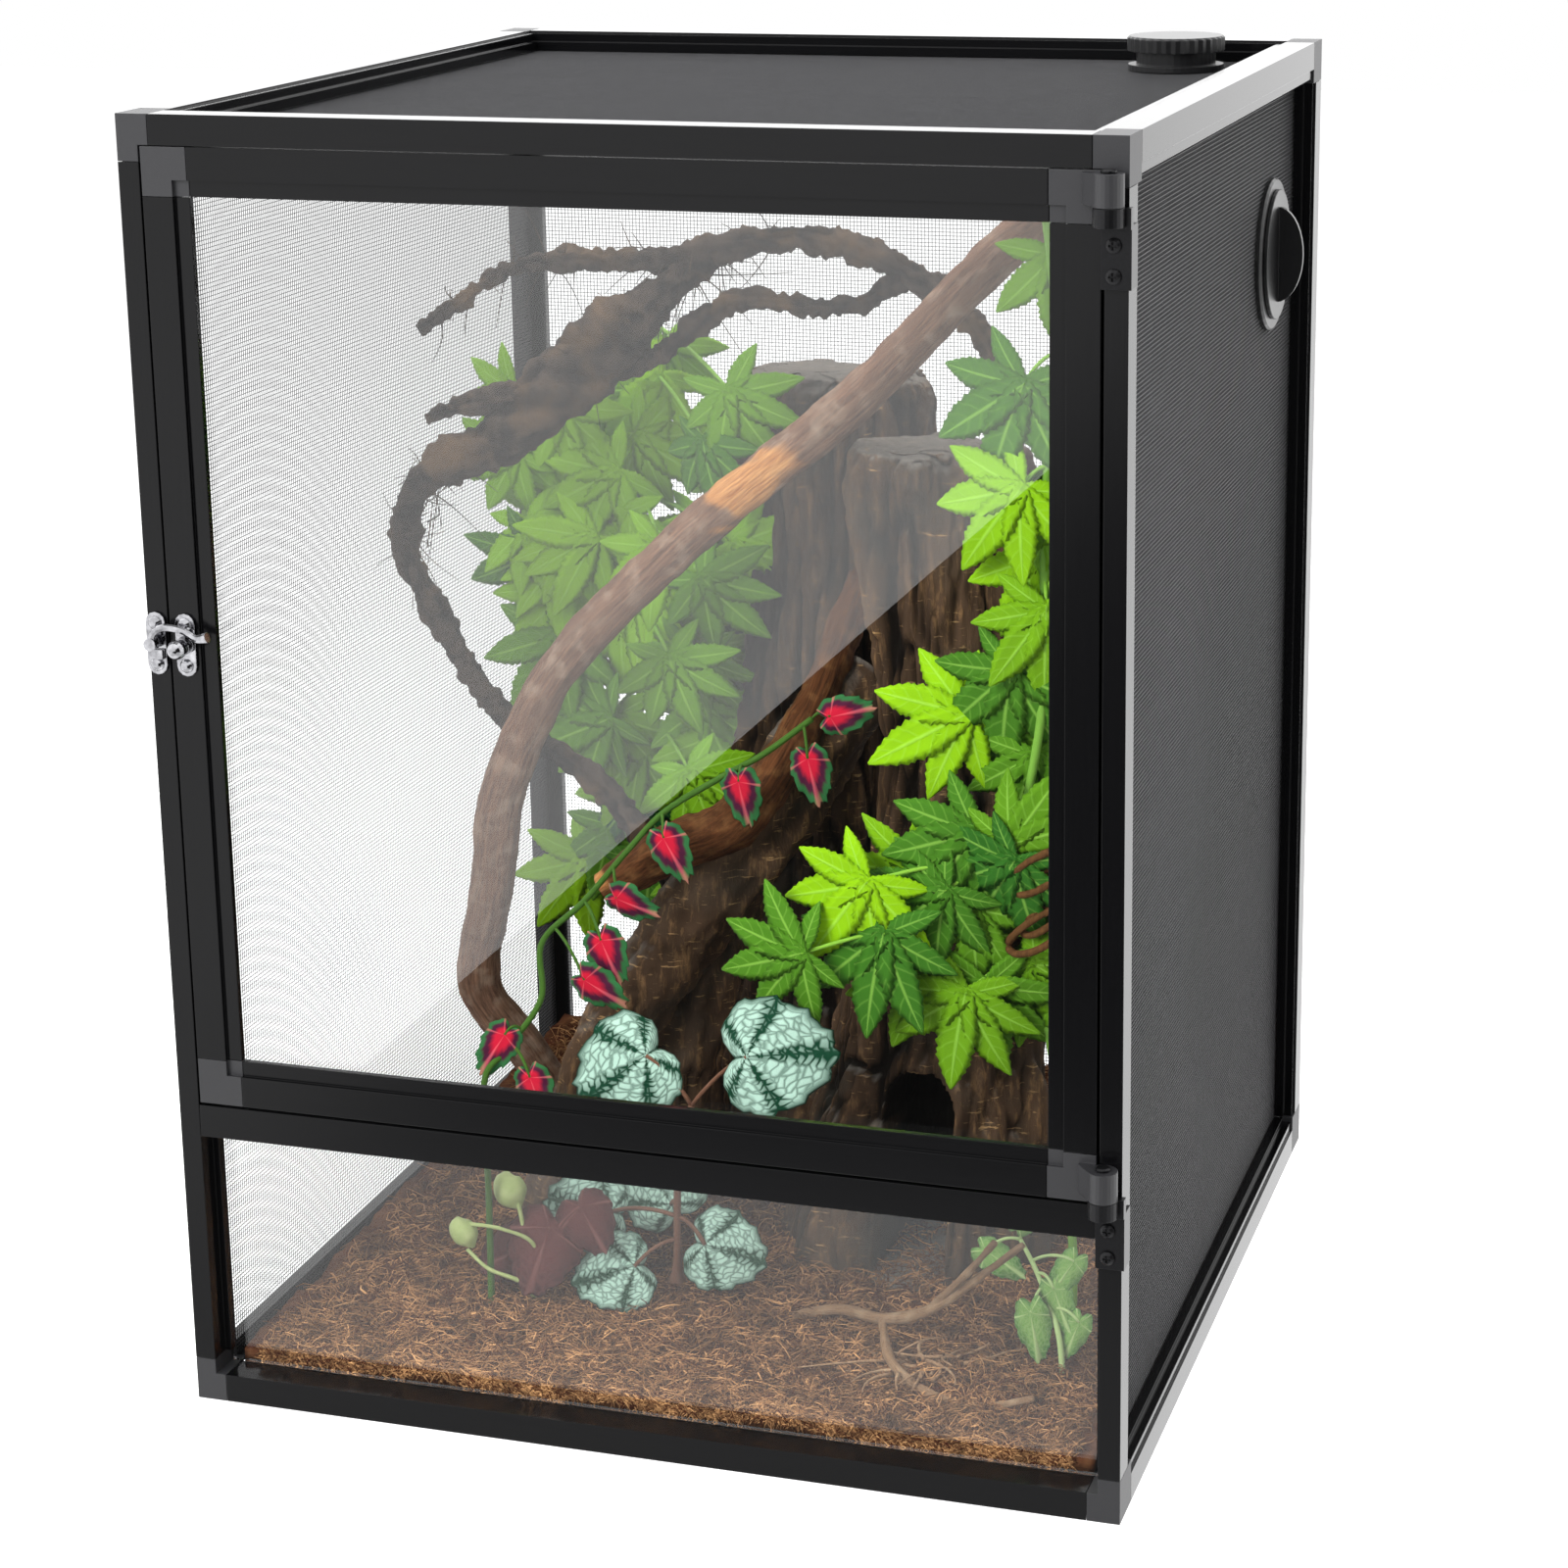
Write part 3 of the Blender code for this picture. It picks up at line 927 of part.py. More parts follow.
# Hanging bunches of seven-lobed leaves on two stems that stand on the floor
RIGHT_LEAVES = [(121, -78, 266, 54, -30, 8), (136, -68, 343, 54, -12, -6), (145, -62, 301, 52, 20, 10)]
RIGHT_LEAVES += [(70, -88, 240, 52, -35, 5), (40, -97, 205, 48, -70, 0), (79, -90, 216, 54, -10, 12)]
RIGHT_LEAVES += [(126, -78, 191, 52, 5, -4), (153, -75, 252, 52, 35, 0), (112, -60, 318, 50, -60, 6)]
RIGHT_LEAVES += [(144, -78, 480, 54, -20, 0), (152, -66, 399, 52, 10, 8), (156, -66, 538, 50, 30, -5)]
RIGHT_LEAVES += [(98, -76, 197, 50, -25, 4), (92, -70, 242, 50, -50, -6), (146, -66, 204, 50, 25, 6)]
LEFT_LEAVES = [(-178, 95, 432, 48, -35, 0), (-167, 90, 347, 52, -20, 5), (-154, 105, 373, 50, -50, -4)]
LEFT_LEAVES += [(-134, 118, 416, 50, -10, 6), (-103, 128, 454, 42, 15, 0), (-40, 46, 446, 48, 25, 4)]
LEFT_LEAVES += [(-57, 53, 418, 42, 5, -4), (-152, 88, 302, 52, -30, 8), (-127, 95, 257, 52, -5, -6)]
LEFT_LEAVES += [(-76, 46, 305, 46, 20, 2), (-58, 50, 348, 48, 40, 5), (-125, 105, 217, 50, 10, 0)]
LEFT_LEAVES += [(-153, 115, 168, 48, -40, 4), (-66, 44, 245, 44, 30, 0), (-83, 55, 362, 46, -15, 3)]
LEFT_LEAVES += [(-178, 95, 398, 44, -70, 0)]
garland_right = bunch("leaf_garland_right", GARLAND_RIGHT, RIGHT_LEAVES, GREEN, palmate)
garland_left = bunch("leaf_garland_left", GARLAND_LEFT, LEFT_LEAVES, GREEN, palmate)
combine(garland_right, floor_guide, "DIFFERENCE")
combine(garland_left, floor_guide, "DIFFERENCE")

# Silver-leaved plant at the front and the red and green leaf vine that climbs to the left of it
SILVER_LEAVES = [(26, -120, 146, 48, 110, 25), (-24, -112, 140, 50, -60, 20), (-65, -88, 56, 46, -95, 30)]
SILVER_LEAVES += [(-36, -80, 60, 44, -150, 30), (-44, -112, 40, 42, -60, 40), (-10, -104, 52, 42, 80, 30)]
begonia = bunch("begonia_plant", BEGONIA_STEM, SILVER_LEAVES, SILVER, lambda size: rounded(size, size * 0.8))
combine(begonia, floor_guide, "DIFFERENCE")
RED_LEAVES = [(-89, -127, 140, 30, 20, 10), (-104, -121, 158, 30, -30, 20), (-70, -100, 182, 32, 60, 0)]
RED_LEAVES += [(-64, -92, 200, 32, 25, 15), (-60, -80, 218, 30, 70, -10), (-40, -66, 246, 32, 30, 10)]
RED_LEAVES += [(-7, -48, 272, 32, 10, 0), (24, -34, 282, 32, 15, 10), (35, -31, 303, 30, 105, 12)]
coleus = bunch("coleus_vine", COLEUS_STEM, RED_LEAVES, RED, lambda size: rounded(size, size * 0.72))
combine(coleus, floor_guide, "DIFFERENCE")

# Thin root twigs on the bed
twigs = add("root_twigs", tube(path_of(TWIG_MAIN), 6, 2), WOOD)
more = [tube(path_of(line), 6, 2) for line in (TWIG_FRONT, TWIG_UP)]
combine(twigs, add("more_twigs", together(*more)), "UNION")

# Bed of loose fibre, higher at the back, with a seat for everything that stands in it
low_y = -HALF_D + BED_FRONT
high_y = HALF_PANEL_Y
shape = bmesh.new()
top = {}
foot = {}
for i in range(BED_CELLS + 1):
    for j in range(BED_CELLS + 1):
        x = HALF_PANEL_X * (2 * i / BED_CELLS - 1)
        share = j / BED_CELLS
        y = low_y + (high_y - low_y) * share
        thick = BED_FRONT_T + (BED_BACK_T - BED_FRONT_T) * share ** 1.3
        lump = math.sin(2.1 * i + 1.7 * math.sin(1.3 * j)) + math.sin(1.9 * j + 0.8 * i)
        height = FLOOR_Z + thick + BED_LUMP * lump / 2
        top[(i, j)] = shape.verts.new((x, y, height))
        foot[(i, j)] = shape.verts.new((x, y, FLOOR_Z)) if {i, j} & {0, BED_CELLS} else None
for i in range(BED_CELLS):
    for j in range(BED_CELLS):
        shape.faces.new((top[(i, j)], top[(i + 1, j)], top[(i + 1, j + 1)], top[(i, j + 1)]))
rim = [(i, 0) for i in range(BED_CELLS)] + [(BED_CELLS, j) for j in range(BED_CELLS)]
rim += [(BED_CELLS - i, BED_CELLS) for i in range(BED_CELLS)] + [(0, BED_CELLS - j) for j in range(BED_CELLS)]
for here, there in zip(rim, rim[1:] + rim[:1]):
    shape.faces.new((top[here], foot[here], foot[there], top[there]))
shape.faces.new([foot[key] for key in rim])
bed = add("substrate_bed", shape, FIBRE)

# Seats: what stands in or against a piece is cut out of it with the usual clearance
SINK = -10
seats = [("left_stump_seat", stump(STUMP_LEFT, 5, 0.4, GAP)), ("right_stump_seat", stump(STUMP_RIGHT, 6, 1.3, GAP))]
seats.append(("root_seat", tube(path_of(ROOT), 12, 2, GAP)))
seats.append(("branch_seat", tube(path_of(BRANCH), 12, 2, GAP)))
stems = (GARLAND_RIGHT, GARLAND_LEFT, BEGONIA_STEM, COLEUS_STEM)
for number, line in enumerate(stems, 1):
    seats.append((f"stem_seat_{number}", tube(path_of(line), 6, 1, GAP)))
for number, line in enumerate((TWIG_MAIN, TWIG_FRONT), 1):
    seats.append((f"twig_seat_{number}", tube(path_of(line), 6, 2, GAP)))
guides = {name: add(name, shape) for name, shape in seats}
for guide in guides.values():
    combine(bed, guide, "DIFFERENCE")
for number, line in enumerate((VINE_TOP, VINE_MASS), 1):
    combine(bark, add(f"vine_seat_{number}", tube(path_of(line), 7, 2, GAP)), "DIFFERENCE")
combine(bark, guides["branch_seat"], "DIFFERENCE")
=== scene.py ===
"""A furnished screen terrarium with a hinged clear door: its finishes, screens, bark, leaves and bedding.

Lengths are in millimetres from the middle of the cage's foot; placed() turns them into the model's metres.
"""
import math

import bpy
import numpy as np
from mathutils import Matrix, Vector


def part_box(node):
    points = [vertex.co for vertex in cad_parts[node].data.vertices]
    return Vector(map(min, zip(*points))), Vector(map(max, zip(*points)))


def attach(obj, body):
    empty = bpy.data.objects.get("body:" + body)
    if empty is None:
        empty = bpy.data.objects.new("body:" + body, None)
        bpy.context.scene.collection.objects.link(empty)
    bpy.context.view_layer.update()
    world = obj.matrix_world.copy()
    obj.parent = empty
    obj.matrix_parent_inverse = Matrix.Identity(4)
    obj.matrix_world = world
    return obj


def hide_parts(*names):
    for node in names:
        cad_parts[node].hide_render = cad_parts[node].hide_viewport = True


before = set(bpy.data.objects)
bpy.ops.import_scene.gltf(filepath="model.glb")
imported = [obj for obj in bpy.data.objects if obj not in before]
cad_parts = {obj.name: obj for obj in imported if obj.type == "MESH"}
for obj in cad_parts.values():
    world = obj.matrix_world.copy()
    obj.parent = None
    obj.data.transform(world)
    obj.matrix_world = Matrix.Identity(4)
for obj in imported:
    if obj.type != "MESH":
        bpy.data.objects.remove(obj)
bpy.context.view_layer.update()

# Where the cage stands, measured between the outer faces of its corner posts
MM = 0.001
foot_low = np.array(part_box("post_front_left")[0]) / MM
foot_high = np.array(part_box("post_back_right")[1]) / MM
MIDDLE = (foot_low + foot_high) / 2 * (1, 1, 0)


def placed(points):
    """Millimetres from the middle of the cage's foot, as metres of the model."""
    return (np.asarray(points, float) + MIDDLE) * MM


def unit(vectors):
    """Each vector divided by its length."""
    return vectors / np.linalg.norm(vectors, axis=-1, keepdims=True)


def stand(thing, right, up, back, place):
    """Put a camera or a lamp at a place, with its own x, y and z axes along right, up and back."""
    turn = np.eye(4)
    turn[:3] = np.stack((right, up, back, placed(place)), 1)
    thing.matrix_world = Matrix(turn.tolist())
    bpy.context.scene.collection.objects.link(thing)


# Camera: a long lens, above the cage and to the right of its front, that looks down on it
EYE = np.array((527.0, -1569.0, 765.0))
YAW, PITCH, ROLL = np.radians((-17.11, -14.493, -0.69))
AHEAD = np.array((np.sin(YAW) * np.cos(PITCH), np.cos(YAW) * np.cos(PITCH), np.sin(PITCH)))
level_right = np.array((np.cos(YAW), -np.sin(YAW), 0.0))
level_up = np.cross(level_right, AHEAD)
RIGHT = np.cos(ROLL) * level_right + np.sin(ROLL) * level_up
UP = np.cos(ROLL) * level_up - np.sin(ROLL) * level_right

lens = bpy.data.cameras.new("camera")
lens.sensor_width = 36.0
lens.lens = 79.26
lens.shift_x = -0.0526
lens.shift_y = -0.1
lens.clip_end = 50.0
camera = bpy.data.objects.new("camera", lens)
stand(camera, RIGHT, UP, -AHEAD, EYE)
bpy.context.scene.camera = camera
bpy.context.scene.view_settings.view_transform = "Standard"


# Studio: a white surround, soft lamps and a pale floor
def linear(code):
    """An sRGB hex colour as linear RGBA."""
    parts = np.array([int(code[k:k + 2], 16) for k in (1, 3, 5)]) / 255
    return (*np.where(parts <= 0.04045, parts / 12.92, ((parts + 0.055) / 1.055) ** 2.4), 1.0)


def fed(tree, node, links):
    """Give a node's sockets their values: a hex code is a colour, and a node is its first live output."""
    for key, value in dict(links).items():
        if isinstance(value, bpy.types.Node):
            value = next(output for output in value.outputs if output.enabled)
        if isinstance(value, bpy.types.NodeSocket):
            tree.links.new(value, node.inputs[key])
        else:
            node.inputs[key].default_value = linear(value) if isinstance(value, str) else value
    return node


def add(tree, kind, links=(), **settings):
    """Add a node with its settings, and feed its sockets."""
    node = tree.nodes.new("ShaderNode" + kind)
    for name, value in settings.items():
        setattr(node, name, value)
    return fed(tree, node, links)


def rays(tree):
    """Whether a ray is seen straight or through glass, and whether it has been mirrored."""
    path = add(tree, "LightPath").outputs
    seen = add(tree, "Math", {0: path["Is Camera Ray"], 1: path["Is Transmission Ray"]}, operation="MAXIMUM")
    return seen, add(tree, "Math", {0: path["Glossy Depth"], 1: 0.5}, operation="GREATER_THAN")


def mirrored_edge(first, second, lit):
    """The plane through the eye and two points of the front, as the glass mirrors it, facing a lit side."""
    normal = unit(np.cross(np.array(first) - EYE, np.array(second) - EYE) * (1, -1, 1))
    return tuple(normal * np.sign(normal @ np.array(lit)))


# The glass shows a white wall up to a slanting edge on the door, and the white floor in the fixed pane
GLASS_Y = -219.7
WALL_EDGE = mirrored_edge((191.4, GLASS_Y, 472.5), (-122.9, GLASS_Y, 185.1), (-0.5, -0.8, 0.3))
FLOOR_EDGE = mirrored_edge((-214, GLASS_Y, 146), (212.5, GLASS_Y, 146), (0, 0, -1))
WALL_LIGHT = 1.75
WALL_DARK = 0.03
FLOOR_LIGHT = 1.15
CEILING_EXTRA = 0.4
ROOM_LIGHT = 0.38
BEHIND_FROM = -0.35
world = bpy.data.worlds.new("studio")
bpy.context.scene.world = world
world.use_nodes = True
tree = world.node_tree
seen, mirrored = rays(tree)
ray = add(tree, "TexCoord").outputs["Generated"]
split = add(tree, "SeparateXYZ", {0: ray}).outputs
wall, ground = (add(tree, "VectorMath", {0: ray, 1: edge}, operation="DOT_PRODUCT")
                for edge in (WALL_EDGE, FLOOR_EDGE))
limits = ((wall, 0.0), (ground, 0.0), (split["Y"], BEHIND_FROM), (split["Z"], 0.0))
wall, ground, behind, above = (add(tree, "Math", {0: value, 1: limit}, operation="GREATER_THAN")
                               for value, limit in limits)
wall = add(tree, "Math", {0: wall, 1: WALL_LIGHT, 2: WALL_DARK}, operation="MULTIPLY_ADD")
ground = add(tree, "Math", {0: ground, 1: FLOOR_LIGHT}, operation="MULTIPLY")
front = add(tree, "Math", {0: wall, 1: ground}, operation="MAXIMUM")
above = add(tree, "Math", {0: above, 1: CEILING_EXTRA, 2: WALL_LIGHT}, operation="MULTIPLY_ADD")
mirror = add(tree, "Mix", {0: behind, 2: front, 3: above})
strength = add(tree, "Mix", {0: seen, 2: ROOM_LIGHT, 3: 1.0})
strength = add(tree, "Mix", {0: mirrored, 2: strength, 3: mirror})
fed(tree, tree.nodes["Background"], {"Strength": strength, "Color": (1, 1, 1, 1)})

# Lamps that light the object and aren't seen: (place, point aimed at, width, watts)
LAMPS = [((-900, -1900, 1500), (0, 0, 300), 1300, 84), ((1300, -1500, 900), (0, 0, 300), 900, 16),
         ((-200, 300, 1900), (0, 0, 250), 1300, 56), ((1700, 900, 800), (0, 0, 300), 1000, 14)]
for number, (place, target, width, watts) in enumerate(LAMPS, 1):
    lamp = bpy.data.lights.new(f"soft_lamp_{number}", "AREA")
    lamp.size = width * MM
    lamp.energy = watts
    holder = bpy.data.objects.new(f"soft_lamp_{number}", lamp)
    back = unit(np.array(place, float) - target)
    across = unit(np.cross((0, 0, 1), back))
    stand(holder, across, np.cross(back, across), back, place)
    holder.visible_glossy = False
    holder.visible_transmission = False
    holder.visible_camera = False

FLOOR_HALF = 6000
FLOOR_DROP = 0.6
FLOOR_GLOW = 0.9
corners = [(x * FLOOR_HALF, y * FLOOR_HALF, -FLOOR_DROP) for x, y in ((-1, -1), (1, -1), (1, 1), (-1, 1))]
mesh = bpy.data.meshes.new("floor")
mesh.from_pydata(placed(corners).tolist(), [], [(0, 1, 2, 3)])
floor = bpy.data.objects.new("floor", mesh)
bpy.context.scene.collection.objects.link(floor)
paint = bpy.data.materials.new("white_floor")
paint.use_nodes = True
tree = paint.node_tree
tree.nodes.clear()
seen, mirrored = rays(tree)
glow = add(tree, "Math", {0: seen, 1: FLOOR_GLOW}, operation="MULTIPLY")
glow = add(tree, "Emission", {"Color": (1, 1, 1, 1), "Strength": glow})
matt = add(tree, "BsdfDiffuse", {"Color": (0.5, 0.5, 0.5, 1)})
both = add(tree, "AddShader", {0: glow, 1: matt})
both = add(tree, "MixShader", {0: mirrored, 1: both, 2: add(tree, "BsdfTransparent")})
add(tree, "OutputMaterial", {"Surface": both})
mesh.materials.append(paint)
floor.visible_glossy = False


# Frame: extruded aluminium bars, black anodised, with hollow ends that the connectors plug into. Anodising
# gives a deep satin black that mirrors the white surround at a glancing angle. The die lines run along each
# bar; real ones are about 0.1 mm apart, and they are drawn coarser so that they show
def begun(name, colour, roughness, metallic=0.0, specular=0.5):
    """A new material with one Principled shader: its material, tree and shader."""
    material = bpy.data.materials.new(name)
    material.use_nodes = True
    tree = material.node_tree
    shader = fed(tree, tree.nodes["Principled BSDF"], {"Base Color": colour, "Roughness": roughness,
                                                       "Metallic": metallic, "Specular IOR Level": specular})
    return material, tree, shader


def mottled(tree, shader, dark, light, size, stretch=(1, 1, 1), bump=0.0, height=0.2):
    """Noise of a size in millimetres between two colours, stretched along an axis, with a bump if asked."""
    place = add(tree, "TexCoord").outputs["Object"]
    place = add(tree, "Mapping", {"Vector": place, "Scale": tuple(1 / (size * MM * k) for k in stretch)})
    grain = add(tree, "TexNoise", {"Vector": place, "Scale": 1.0, "Detail": 3.0})
    fed(tree, shader, {"Base Color": add(tree, "Mix", {0: grain, 6: dark, 7: light}, data_type="RGBA")})
    if bump:
        edge = add(tree, "Bevel", {"Radius": EDGE_R * MM}, samples=4)
        raised = {"Strength": bump, "Distance": height * MM, "Normal": edge, "Height": grain}
        fed(tree, shader, {"Normal": add(tree, "Bump", raised)})


def painted(names, material):
    """Give CAD nodes their finish."""
    for name in names:
        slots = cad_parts[name].data.materials
        slots.clear()
        slots.append(material)


EDGE_R = 0.5
DIE_LINE = 0.7
LONG = 60
LEVELS = ("bottom", "top")
ENDS = ("front", "back")
SIDES = ("left", "right")
bars = {"x": [f"rail_{level}_{end}" for level in LEVELS for end in ENDS],
        "y": [f"rail_{level}_{side}" for level in LEVELS for side in SIDES],
        "z": [f"post_{end}_{side}" for end in ENDS for side in SIDES]}
bars["x"] += ["middle_rail", "door_rail_bottom", "door_rail_top"]
bars["z"] += ["door_stile_left", "door_stile_right"]
for axis, names in bars.items():
    anodised, tree, shader = begun(f"black_anodised_{axis}", "#0A0A0B", 0.14, specular=0.18)
    stretch = tuple(LONG if axis == letter else 1 for letter in "xyz")
    mottled(tree, shader, "#060607", "#0B0B0C", DIE_LINE, stretch, bump=0.12, height=0.04)
    painted(names, anodised)

# Corner connectors and door corner blocks: moulded nylon, pushed into the bars. Its fine sparked skin, drawn
# coarser than the real 0.2 mm, spreads the light, so it looks a shade greyer than the bars
nylon, tree, shader = begun("moulded_nylon", "#2A2A2C", 0.45)
mottled(tree, shader, "#1E1E20", "#262628", size=0.5, bump=0.35, height=0.12)
painted([f"connector_{level}_{end}_{side}" for level in LEVELS for end in ENDS for side in SIDES], nylon)
painted([f"door_corner_{level}_{side}" for level in LEVELS for side in SIDES], nylon)

# Ports: injection-moulded ABS rings clipped in the mesh, and caps that twist in them. The mould leaves them
# satin black, with a faint grain that softens the highlights
abs_plastic, tree, shader = begun("satin_abs", "#121213", 0.3, specular=0.4)
mottled(tree, shader, "#0F0F10", "#171718", size=0.8, bump=0.2, height=0.1)
painted(["side_port_ring", "side_port_cap", "top_port_ring", "top_port_cap"], abs_plastic)

# Hinges: steel leaves screwed to the post, with pins and pan-head screws, all plated in black zinc, which is
# a dull dark metal. The latch is cast zinc in bright chrome, and the lights and darks that it mirrors are
# drawn as patches 4 mm wide
zinc, tree, shader = begun("black_zinc", "#161617", 0.32, metallic=0.7)
mottled(tree, shader, "#121213", "#1E1E20", size=1.2, bump=0.15, height=0.1)
painted([f"hinge_{part}_{level}" for part in ("leaf", "pin") for level in LEVELS], zinc)
painted([f"hinge_screw_{level}_{number}" for level in LEVELS for number in (1, 2)], zinc)
chrome, tree, shader = begun("chrome_plate", "#9A9AA0", 0.06, metallic=1.0)
mottled(tree, shader, "#3A3A3E", "#D2D2D6", size=4, bump=0.3)
painted(["latch_keeper", "latch_stud_plate", "latch_arm"], chrome)

# Base panel: a sheet of black rigid plastic under the bedding, seated on the bottom rails. Its light grain
# gives it a matt look
sheet, tree, shader = begun("rigid_sheet", "#1A1A1A", 0.6)
mottled(tree, shader, "#161616", "#202020", size=1.5, bump=0.2)
painted(["base_panel"], sheet)

# Panes: clear sheet in the bars' grooves, finished as float glass. Lamp light passes through it unbent, and
# it mirrors the surround as glass does
glass, tree, shader = begun("clear_glass", "#FBFCFC", 0.0)
fed(tree, shader, {"Transmission Weight": 1.0, "IOR": 1.5})
path = add(tree, "LightPath").outputs
passing = add(tree, "Math", {0: path["Is Shadow Ray"], 1: path["Is Diffuse Ray"]}, operation="MAXIMUM")
clear = add(tree, "BsdfTransparent", {"Color": (0.97, 0.98, 0.98, 1)})
mixed = add(tree, "MixShader", {0: passing, 1: shader, 2: clear})
fed(tree, tree.nodes["Material Output"], {"Surface": mixed})
painted(["door_pane", "lower_pane"], glass)

# Screens: black coated wire woven at a 2 mm pitch, each sheet held behind the lips of its bars. Drawn as two
# layers of straight wires, dull grey-black, and as thick in each sheet as makes it as light or dark as the
# real one looks. A sheet is (corner, along, across, depth, width, wire, hole)
PITCH_WIRE = 2.0
SHEET_HALF = 209
SHEET_TALL = 581
SHEET_AT = 214.6
SHEET_FOOT = 14.5
SHEET_TOP = 599.6
SHEETS = {
    "left": ((-SHEET_AT, -SHEET_HALF, SHEET_FOOT), (0, 1, 0), (0, 0, 1), (1, 0, 0), SHEET_TALL, 0.27, None),
    "right": ((SHEET_AT, -SHEET_HALF, SHEET_FOOT), (0, 1, 0), (0, 0, 1), (-1, 0, 0), SHEET_TALL, 0.38,
              (350, 495.5, 33.4)),
    "back": ((-SHEET_HALF, SHEET_AT, SHEET_FOOT), (1, 0, 0), (0, 0, 1), (0, -1, 0), SHEET_TALL, 0.26, None),
    "top": ((-SHEET_HALF, -SHEET_HALF, SHEET_TOP), (1, 0, 0), (0, 1, 0), (0, 0, -1), 2 * SHEET_HALF, 0.34,
            (372, 364, 20.4))}


def made(name, points, faces, material, nodes=(), marks=None, smooth=True, body="enclosure"):
    """A piece from points in millimetres: marks are point attributes, and nodes are what it stands for."""
    shape = bpy.data.meshes.new(name)
    shape.from_pydata(placed(points).tolist(), [], faces)
    for key, values in (marks or {}).items():
        kind, field = ("FLOAT_VECTOR", "vector") if values.ndim == 2 else ("FLOAT", "value")
        shape.attributes.new(key, kind, "POINT").data.foreach_set(field, values.ravel())
    if smooth:
        shape.shade_smooth()
    shape.materials.append(material)
    piece = bpy.data.objects.new(name, shape)
    bpy.context.scene.collection.objects.link(piece)
    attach(piece, body)
    if nodes:
        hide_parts(*nodes)


def runs(length, width, hole):
    """Wires along a sheet, one at each pitch, as (start, end, offset): a round hole takes its chord out."""
    offsets = np.arange(PITCH_WIRE / 2, width, PITCH_WIRE)
    starts, ends = np.zeros_like(offsets), np.full_like(offsets, length)
    if hole is None:
        return np.stack((starts, ends, offsets), 1)
    away = np.abs(offsets - hole[1])
    hit = away < hole[2]
    half = np.sqrt(np.maximum(hole[2] ** 2 - away ** 2, 0))
    first = np.stack((starts, np.where(hit, hole[0] - half, ends), offsets), 1)
    second = np.stack((hole[0] + half, ends, offsets), 1)[hit]
    return np.concatenate((first, second))


CUBE = [(0, 2, 3, 1), (4, 5, 7, 6), (0, 1, 5, 4), (2, 6, 7, 3), (0, 4, 6, 2), (1, 3, 7, 5)]


def bars_of(lines, corner, along, across, depth, wire, level):
    """A square bar for each (start, end, offset): its ends, half a wire to each side, and a wire deep."""
    along, across, depth = (np.array(v, float) for v in (along, across, depth))
    ends = corner + along * lines[:, 0:2, None] + across * lines[:, 2, None, None]
    sides = np.stack([ends - across * wire / 2, ends + across * wire / 2], 2)
    return np.stack([sides + depth * level, sides + depth * (level + wire)], 3).reshape(-1, 8, 3)


wire_coat, tree, shader = begun("coated_wire", "#2A2A2C", 0.5, specular=0.4)
mottled(tree, shader, "#202022", "#303032", size=9, bump=0.1)
for side, (corner, along, across, depth, width, wire, hole) in SHEETS.items():
    length = 2 * SHEET_HALF
    crossed = hole and (hole[1], hole[0], hole[2])
    first = bars_of(runs(length, width, hole), corner, along, across, depth, wire, 0)
    second = bars_of(runs(width, length, crossed), corner, across, along, depth, wire, wire)
    points = np.concatenate((first, second))
    faces = (np.array(CUBE) + 8 * np.arange(len(points))[:, None, None]).reshape(-1, 4)
    turned_out = np.dot(np.cross(along, across), depth) > 0
    inward = (np.arange(len(faces)) < 6 * len(first)) != turned_out
    faces[inward] = faces[inward, ::-1]
    made(f"screen_{side}", points.reshape(-1, 3), faces.tolist(), wire_coat,
         [f"mesh_{side}"], smooth=False)


# Bark: two stumps of dark ridged bark, the right one with a hollow, and a root and its spur that run down
# from them. Each is a closed skin pushed in and out by stretched noise, so that its grooves run with the
# grain. Grooves look near black, ridges brown with paler flecks and cracks across, and faces that turn
# upwards grey, the stumps' tops among them
def hashed(cells, seed):
    """A random number from -1 to 1 for each whole-number cell, the same in each run."""
    mixed = (cells * (374761393, 668265263, 1442695041)).sum(-1) + seed * 97463477
    mixed = (mixed ^ (mixed >> 13)) * 1274126177
    mixed = mixed ^ (mixed >> 16)
    return (mixed & 0xFFFF) / 32767.5 - 1


def noise(points, size, seed=0):
    """Value noise from -1 to 1: random values at the corners of cells of that size, smoothly blended."""
    scaled = points / np.array(size, float)
    cell = np.floor(scaled).astype(np.int64)
    part = scaled - cell
    part = part * part * (3 - 2 * part)
    total = np.zeros(points.shape[:-1])
    for corner in np.ndindex(2, 2, 2):
        weight = np.prod(np.where(corner, part, 1 - part), axis=-1)
        total += weight * hashed(cell + np.array(corner), seed)
    return total


def through(stations, count):
    """A smooth line through stations of any width (Catmull-Rom), as that many evenly spread points."""
    stations = np.asarray(stations, float)
    before, after = 2 * stations[:1] - stations[1:2], 2 * stations[-1:] - stations[-2:-1]
    padded = np.concatenate((before, stations, after))
    at = np.linspace(0, len(stations) - 1, count)
    cell = np.minimum(at.astype(int), len(stations) - 2)
    t = (at - cell)[:, None]
    p0, p1, p2, p3 = (padded[cell + k] for k in range(4))
    return 0.5 * (2 * p1 + (p2 - p0) * t + (2 * p0 - 5 * p1 + 4 * p2 - p3) * t ** 2
                  + (3 * p1 - p0 - 3 * p2 + p3) * t ** 3)


